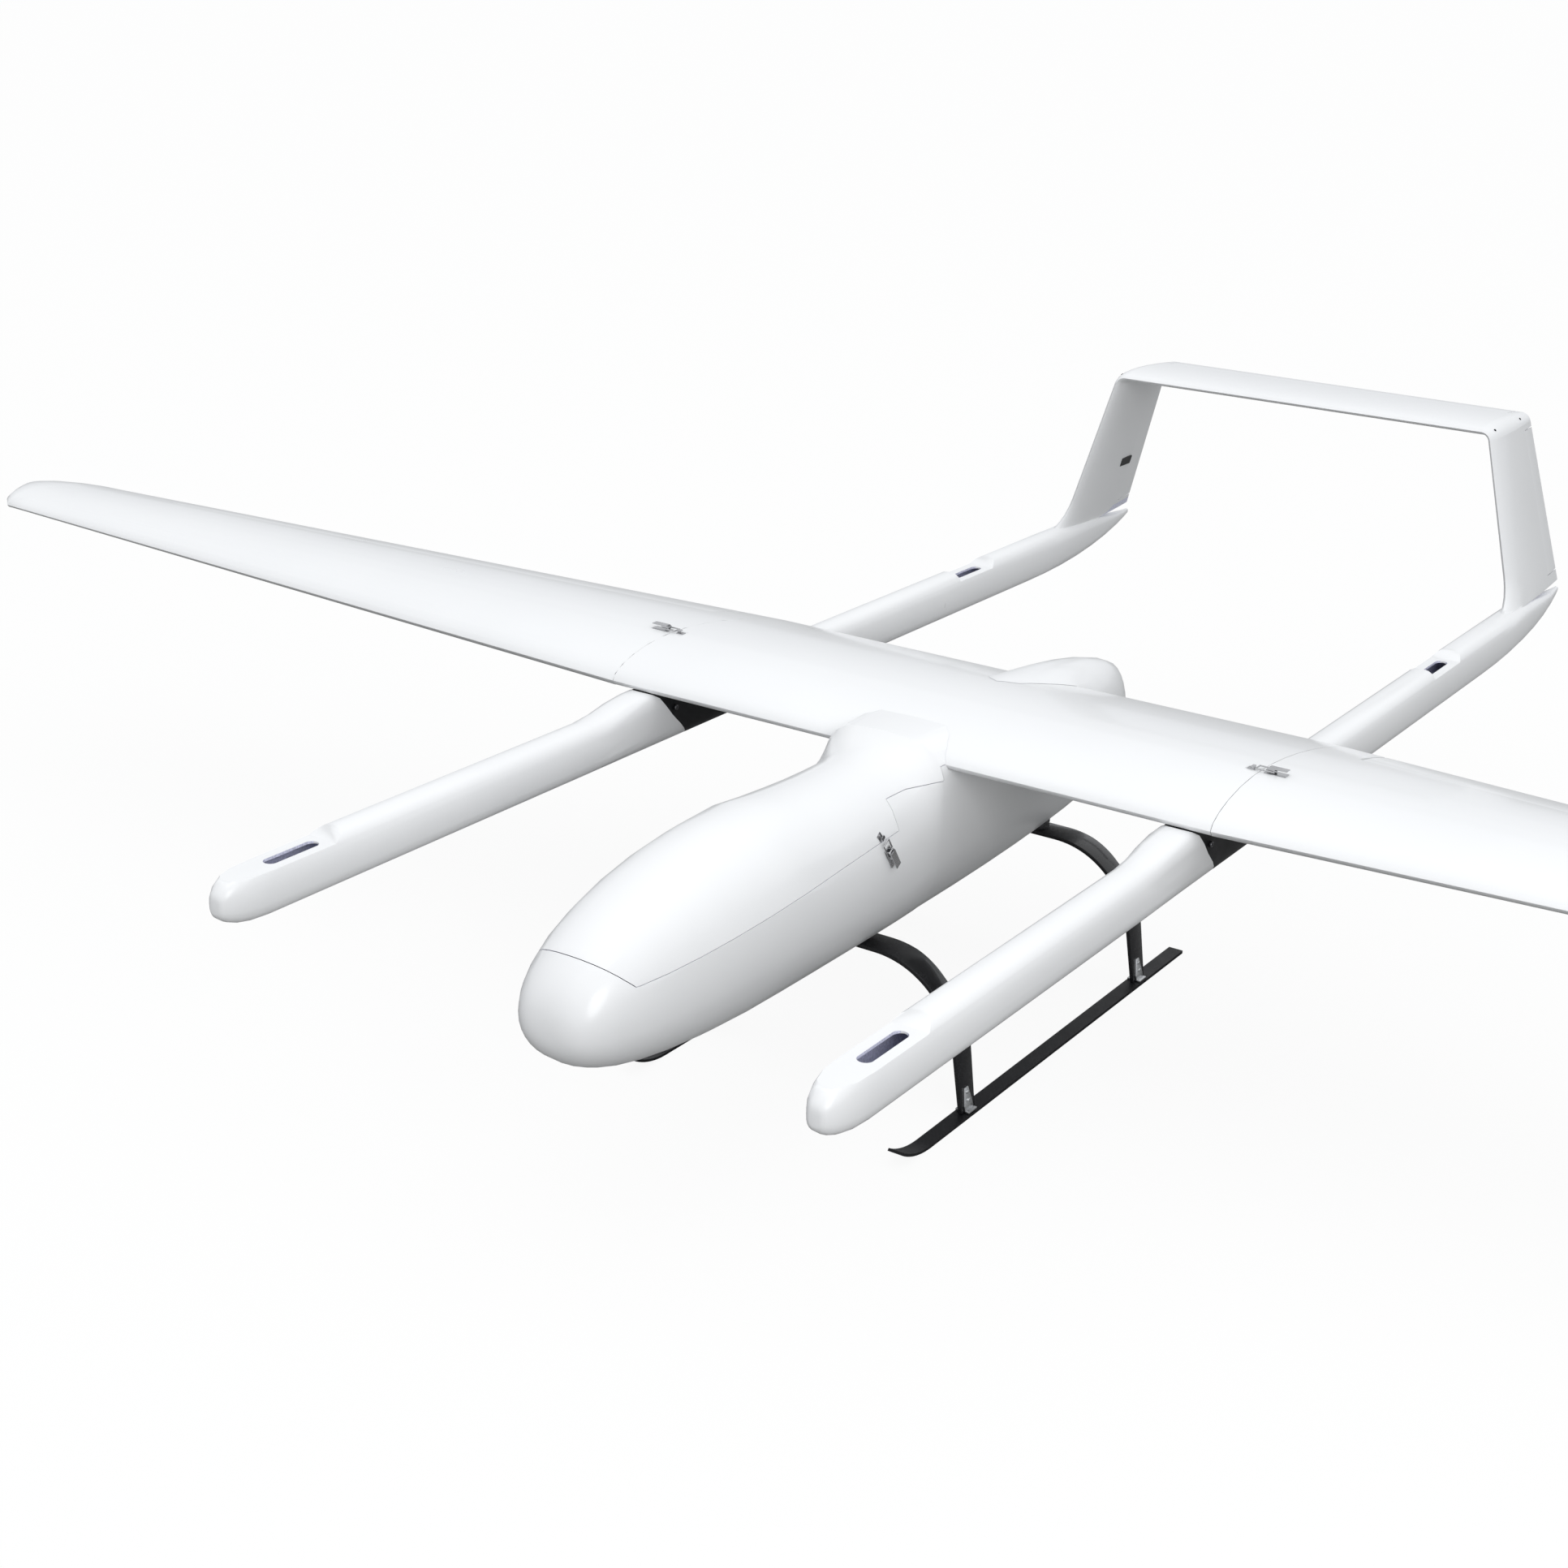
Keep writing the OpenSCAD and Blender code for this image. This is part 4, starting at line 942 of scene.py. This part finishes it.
@dataclass
class LandingGear(Assembly):
    """Leaf legs, skids and their brackets."""

    stations: tuple[tuple[str, float], ...] = (
        ("front_gear_bow", -0.491), ("rear_gear_bow", 0.047))
    leaf_w: float = 0.050
    leaf_t: float = 0.006
    leaf_top: float = 0.207
    flat_x: float = 0.064
    bend_r: float = 0.148
    lean: float = 12.5
    rake: float = 0.023
    foot_w: float = 0.037
    skid_x: float = 0.2245
    skid_top: float = 0.005
    curl_y: float = -0.6265
    curl_length: float = 0.92
    curl_height: float = 0.78
    drawn_in: tuple[tuple[float, float], ...] = (
        (0.105, 0.0155), (0.062, 0.0135), (0.032, 0.0095), (0.006, 0.002))
    bend_steps: int = 28
    leg_steps: int = 10
    edge_round: float = 0.0006
    plate_t: float = 0.0025
    plate_w: float = 0.022
    plate_h: float = 0.034
    plate_lift: float = 0.0012
    shoulder: float = 0.008
    crown_share: float = 0.45
    plate_gap: float = 0.00015
    toe: float = 0.0076
    toe_t: float = 0.003
    bolt_places: tuple[float, float] = (0.015, 0.027)
    bolt_r: float = 0.0027
    bolt_h: float = 0.0024

    def build(self) -> None:
        """Makes the legs and brackets and dresses the rest."""
        for node, y in self.stations:
            self.leaf(node, y)
        for side in Side:
            self.flatten(self.skin(f"{side.word}_skid", self.finish.satin_carbon, 30))
        self.dress(("gear_saddles",), self.finish.carbon)
        self.brackets()

    def flatten(self, piece: bpy.types.Object) -> None:
        """Lowers and shortens the curled front end of a skid.

        Args:
            piece: The skid's skin.
        """
        for vert in piece.data.vertices:
            if vert.co.y < self.curl_y:
                vert.co.y = self.curl_y + (vert.co.y - self.curl_y) * self.curl_length
                vert.co.z *= self.curl_height

    def edges(self, z: float) -> tuple[float, float]:
        """Front and rear edge of a leg at a height, from its middle.

        Args:
            z: The height.

        Returns:
            The two edges' distances behind the leg's middle at the belly.
        """
        high = self.leaf_top - self.leaf_t
        fall = min(max((high - z) / (high - self.skid_top), 0.0), 1.0)
        half = self.leaf_w / 2
        front = -half - fall * (self.rake + self.foot_w / 2 - half)
        rear = [(self.skid_top, self.foot_w / 2 - self.rake)]
        rear += [(self.leaf_top - drop, half - inward) for drop, inward in self.drawn_in]
        for (z0, y0), (z1, y1) in zip(rear, rear[1:]):
            if z <= z1:
                return front, y0 + (y1 - y0) * (z - z0) / (z1 - z0)
        return front, rear[-1][1]

    def leaf(self, node: str, y: float) -> None:
        """Bends one leaf leg from the belly to both skids.

        Args:
            node: The solid that it stands for.
            y: Its place along the pod.
        """
        bm = bmesh.new()
        lean = math.radians(self.lean)
        place = Matrix.Translation((0, y, self.leaf_top - self.leaf_t / 2))
        across = Matrix.Rotation(math.pi / 2, 4, "Y")
        size = Matrix.Diagonal((self.leaf_t, self.leaf_w, 1, 1))
        bmesh.ops.create_grid(bm, x_segments=1, y_segments=1, size=0.5, matrix=place @ across @ size)
        end = self.drawn(bm, bm.faces[:], Vector((self.flat_x, 0, 0)))
        centre = (self.flat_x, y, self.leaf_top - self.bend_r)
        bend = bmesh.ops.spin(bm, geom=end, cent=centre, axis=(0, 1, 0), angle=math.pi / 2 - lean,
                              steps=self.bend_steps, use_duplicate=False, use_merge=False)
        end = [g for g in bend["geom_last"] if isinstance(g, bmesh.types.BMFace)]
        down = Vector((math.sin(lean), 0, -math.cos(lean)))
        length = (end[0].calc_center_median().z - self.skid_top) / math.cos(lean)
        for _ in range(self.leg_steps):
            end = self.drawn(bm, end, down * (length / self.leg_steps))
        for vert in end[0].verts:
            vert.co += down * ((vert.co.z - self.skid_top - self.plate_gap) / math.cos(lean))
        for vert in bm.verts:
            front, rear = self.edges(vert.co.z)
            vert.co.y = y + (front if vert.co.y < y else rear)
        middle = [f for f in bm.faces if all(abs(v.co.x) < 1e-6 for v in f.verts)]
        bmesh.ops.delete(bm, geom=middle, context="FACES_ONLY")
        bmesh.ops.mirror(bm, geom=bm.verts[:] + bm.edges[:] + bm.faces[:], axis="X",
                         merge_dist=WELD_DIST)
        bmesh.ops.remove_doubles(bm, verts=bm.verts, dist=WELD_DIST)
        bmesh.ops.recalc_face_normals(bm, faces=bm.faces)
        round_edges(bm, [e for e in bm.edges if e.calc_face_angle(0.0) > 1.0], self.edge_round)
        piece = new_piece(f"{node}_leaf", bm, self.finish.carbon, self.bodies[node],
                          30)
        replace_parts(piece, node)

    def drawn(self, bm: bmesh.types.BMesh, faces: list[bmesh.types.BMFace],
              way: Vector) -> list[bmesh.types.BMFace]:
        """Extrudes faces along a straight way.

        Args:
            bm: The mesh.
            faces: The faces to extrude.
            way: How far they go.

        Returns:
            The faces at the far end.
        """
        made = bmesh.ops.extrude_face_region(bm, geom=faces)["geom"]
        moved = [g for g in made if isinstance(g, bmesh.types.BMVert)]
        bmesh.ops.translate(bm, verts=moved, vec=way)
        return [g for g in made if isinstance(g, bmesh.types.BMFace)]

    def brackets(self) -> None:
        """Clamps every foot to its skid with two bolted plates."""
        bm = bmesh.new()
        for side in Side:
            mirror = Matrix.Diagonal((side.value, 1, 1, 1))
            for _, y in self.stations:
                place = Matrix.Translation((self.skid_x, y - self.rake, self.skid_top))
                for face in (1, -1):
                    made = self.bracket(bm, face)
                    bmesh.ops.transform(bm, verts=made, matrix=mirror @ place)
        bmesh.ops.recalc_face_normals(bm, faces=bm.faces)
        piece = new_piece("skid_bracket_plates", bm, self.finish.aluminium, AIRFRAME)
        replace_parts(piece, "skid_brackets")

    def bracket(self, bm: bmesh.types.BMesh, face: int) -> list[bmesh.types.BMVert]:
        """Makes one clamp plate with its toe and bolts.

        Args:
            bm: The mesh to add to.
            face: Side of the foot that it lies on, 1 or -1.

        Returns:
            The new vertices.
        """
        known = set(bm.verts)
        lean = math.radians(self.lean)
        inner = self.leaf_t / 2 + self.plate_gap
        place = Matrix.Translation((face * (inner + self.plate_t / 2), 0,
                                    (self.shoulder + self.plate_lift) / 2))
        size = Matrix.Diagonal((self.plate_t, self.plate_w, self.shoulder - self.plate_lift, 1))
        plate = bmesh.ops.create_cube(bm, size=1.0, matrix=place @ size)["verts"]
        crown = next(f for v in plate for f in v.link_faces if f.normal.z > FACING)
        top = self.drawn(bm, [crown], Vector((0, 0, self.plate_h - self.shoulder)))
        bmesh.ops.scale(bm, verts=top[0].verts[:], vec=(1, self.crown_share, 1))
        rims = [e for e in bm.edges if e.verts[0] not in known and e.calc_face_angle(0.0) > 0.6]
        round_edges(bm, rims, self.edge_round)
        for height in self.bolt_places:
            spot = Vector((face * (inner + self.plate_t), 0, height))
            screw(bm, spot, Vector((face, 0, 0)), self.bolt_r, self.bolt_h)
        bmesh.ops.transform(bm, verts=[v for v in bm.verts if v not in known],
                            matrix=Matrix.Rotation(-lean, 4, "Y"))
        seen = set(bm.verts)
        near = self.leaf_t / 2 / math.cos(lean) + self.plate_gap
        near += 0.0 if face > 0 else self.toe_t * math.tan(lean)
        place = Matrix.Translation((face * (near + self.toe / 2), 0, self.toe_t / 2 + self.plate_gap))
        size = Matrix.Diagonal((self.toe, self.plate_w, self.toe_t, 1))
        bmesh.ops.create_cube(bm, size=1.0, matrix=place @ size)
        round_edges(bm, [e for e in bm.edges if e.verts[0] not in seen], self.edge_round)
        return [v for v in bm.verts if v not in known]


@dataclass(frozen=True)
class Perch:
    """Place of the left one of a pair of keepers, with the way along it and out of it."""

    kind: str
    keepers: str
    origin: Vector
    along: Vector
    out: Vector


HATCH_PERCH = Perch("hatch", "hatch_hooks", Vector((0.09409, -0.56774, 0.39907)),
                    Vector((-0.30246, -0.46947, 0.82953)), Vector((0.93950, 0.0, 0.34256)))
WING_PERCH = Perch("wing", "wing_hooks", Vector((0.4820, -0.23991, 0.49482)),
                   Vector((-1, 0, 0)), UP)


@dataclass
class Latches(Assembly):
    """Draw latches of the hatch and of the wing panels."""

    keeper_y: float = 0.0034
    standoff: float = 0.01
    screw_r: float = 0.0019
    screw_h: float = 0.0010

    def build(self) -> None:
        """Dresses the latches and screws their keepers down."""
        self.dress(("latch_bases",), self.finish.steel)
        for perch in (HATCH_PERCH, WING_PERCH):
            self.skin(perch.keepers, self.finish.steel, 30)
            self.keeper_screws(perch)
            for side in Side:
                self.skin(f"{side.word}_{perch.kind}_lever", self.finish.steel, 30)
                self.skin(f"{side.word}_{perch.kind}_bail", self.finish.steel, 30)

    def keeper_screws(self, perch: Perch) -> None:
        """Screws the two keepers of a pair of latches down.

        Args:
            perch: The left keeper's place.
        """
        bm = bmesh.new()
        for side in Side:
            mirror = Vector((side.value, 1, 1))
            start = perch.origin + perch.along * self.keeper_y + perch.out * self.standoff
            place, normal = seat(perch.keepers, start * mirror, -perch.out * mirror)
            screw(bm, place, normal, self.screw_r, self.screw_h)
        new_piece(f"{perch.kind}_keeper_screws", bm, self.finish.steel, self.bodies[perch.keepers])


@dataclass(frozen=True)
class Lamp:
    """A large soft lamp, with its diameter in metres and its power in watts."""

    name: str
    place: Point
    size: float
    power: float


@dataclass
class Studio:
    """Floor, light and the camera at the photograph's viewing angle."""

    azimuth: float = 33.28
    elevation: float = 20.70
    roll: float = 1.98
    focal_px: float = 2956.64
    place: Point = (1.6355, -3.1569, 1.6093)
    sensor: float = 36.0
    far: float = 300.0
    sky: float = 1.02
    horizon: Colour = (0.60, 0.615, 0.64)
    zenith: Colour = (0.97, 0.985, 1.0)
    zenith_from: float = 0.75
    floor_r: float = 80.0
    paper: Colour = (0.27, 0.27, 0.266)
    glow: float = 1.30
    glow_share: float = 0.70
    aim: Point = (0, 0, 0.3)
    panels: tuple[Lamp, ...] = (Lamp("sky_panel", (0.6, -0.6, 5.0), 6.0, 22.0),
                                Lamp("front_panel", (4.0, -3.6, 2.3), 3.0, 78.0))

    def build(self) -> None:
        """Makes the whole studio."""
        self.camera()
        self.world()
        self.floor()
        self.lamps()
        bpy.context.scene.view_settings.view_transform = "Standard"

    def camera(self) -> None:
        """Sets the camera."""
        az, el, roll = (math.radians(a) for a in (self.azimuth, self.elevation, self.roll))
        back = Vector((math.sin(az) * math.cos(el), -math.cos(az) * math.cos(el), math.sin(el)))
        right = Vector((math.cos(az), math.sin(az), 0))
        up = back.cross(right)
        across = math.cos(roll) * right + math.sin(roll) * up
        upward = math.cos(roll) * up - math.sin(roll) * right
        data = bpy.data.cameras.new("camera")
        data.sensor_width = self.sensor
        data.lens = self.focal_px * self.sensor / IMAGE_SIZE
        data.clip_end = self.far
        camera = bpy.data.objects.new("camera", data)
        turn = Matrix((across, upward, back)).transposed().to_4x4()
        camera.matrix_world = Matrix.Translation(self.place) @ turn
        bpy.context.scene.collection.objects.link(camera)
        bpy.context.scene.camera = camera

    def world(self) -> None:
        """Soft light from above, with a white surround for the camera and through clear pieces."""
        world = bpy.data.worlds.new("studio")
        bpy.context.scene.world = world
        world.use_nodes = True
        tree = world.node_tree
        tree.nodes.clear()
        add, link = tree.nodes.new, tree.links.new
        output = add("ShaderNodeOutputWorld")
        mix = add("ShaderNodeMixShader")
        seen = add("ShaderNodeBackground")
        light = add("ShaderNodeBackground")
        seen.inputs["Color"].default_value = (1, 1, 1, 1)
        light.inputs["Strength"].default_value = self.sky
        link(self.sky_colour(tree), light.inputs["Color"])
        path = add("ShaderNodeLightPath")
        either = add("ShaderNodeMath")
        either.operation = "MAXIMUM"
        link(path.outputs["Is Camera Ray"], either.inputs[0])
        link(path.outputs["Is Transmission Ray"], either.inputs[1])
        link(either.outputs[0], mix.inputs[0])
        link(light.outputs[0], mix.inputs[1])
        link(seen.outputs[0], mix.inputs[2])
        link(mix.outputs[0], output.inputs["Surface"])

    def sky_colour(self, tree: bpy.types.NodeTree) -> bpy.types.NodeSocket:
        """Cloud light that fades from overhead to the horizon.

        Args:
            tree: The world's tree.

        Returns:
            The colour seen in each direction.
        """
        coords = tree.nodes.new("ShaderNodeTexCoord")
        split = tree.nodes.new("ShaderNodeSeparateXYZ")
        ramp = tree.nodes.new("ShaderNodeValToRGB")
        ramp.color_ramp.elements[0].color = (*self.horizon, 1)
        ramp.color_ramp.elements[1].color = (*self.zenith, 1)
        ramp.color_ramp.elements[1].position = self.zenith_from
        tree.links.new(coords.outputs["Generated"], split.inputs[0])
        tree.links.new(split.outputs["Z"], ramp.inputs["Fac"])
        return ramp.outputs["Color"]

    def floor(self) -> None:
        """Pale floor that keeps a faint shadow."""
        bm = bmesh.new()
        bmesh.ops.create_circle(bm, cap_ends=True, segments=64, radius=self.floor_r)
        mesh = bpy.data.meshes.new("floor")
        bm.to_mesh(mesh)
        bm.free()
        net = Net("floor_paper")
        diffuse = net.add("ShaderNodeBsdfDiffuse")
        diffuse.inputs["Color"].default_value = (*self.paper, 1)
        glow = net.add("ShaderNodeEmission")
        glow.inputs["Color"].default_value = (1, 1, 1, 1)
        glow.inputs["Strength"].default_value = self.glow
        path = net.add("ShaderNodeLightPath")
        share = net.compute("ShaderNodeMath", "MULTIPLY", path.outputs["Is Camera Ray"],
                            self.glow_share)
        mix = net.add("ShaderNodeMixShader")
        net.link(share.outputs[0], mix.inputs[0])
        net.link(diffuse.outputs[0], mix.inputs[1])
        net.link(glow.outputs[0], mix.inputs[2])
        net.link(mix.outputs[0], net.output.inputs["Surface"])
        mesh.materials.append(net.material)
        floor = bpy.data.objects.new("floor", mesh)
        bpy.context.scene.collection.objects.link(floor)

    def lamps(self) -> None:
        """Large soft lamps over the airframe."""
        for panel in self.panels:
            data = bpy.data.lights.new(panel.name, "AREA")
            data.shape = "DISK"
            data.size = panel.size
            data.energy = panel.power
            lamp = bpy.data.objects.new(panel.name, data)
            lamp.location = panel.place
            way = Vector(self.aim) - Vector(panel.place)
            lamp.rotation_euler = way.to_track_quat("-Z", "Y").to_euler()
            bpy.context.scene.collection.objects.link(lamp)


def main() -> None:
    """Builds the airframe's looks and the studio, piece by piece."""
    logging.basicConfig(level=logging.INFO, format="%(name)s %(message)s")
    record = frame["record"]
    bodies = {node: body for body, nodes in record["behaviour"]["bodies"].items() for node in nodes}
    slots = {part["node"]: part["material_slot"] for part in record["subparts"]}
    finish = Finish()
    Studio().build()
    for kind in (Fuselage, Wing, Booms, Tail, LandingGear, Latches):
        kind(finish, bodies, slots).build()


if __name__ == "__main__":
    main()
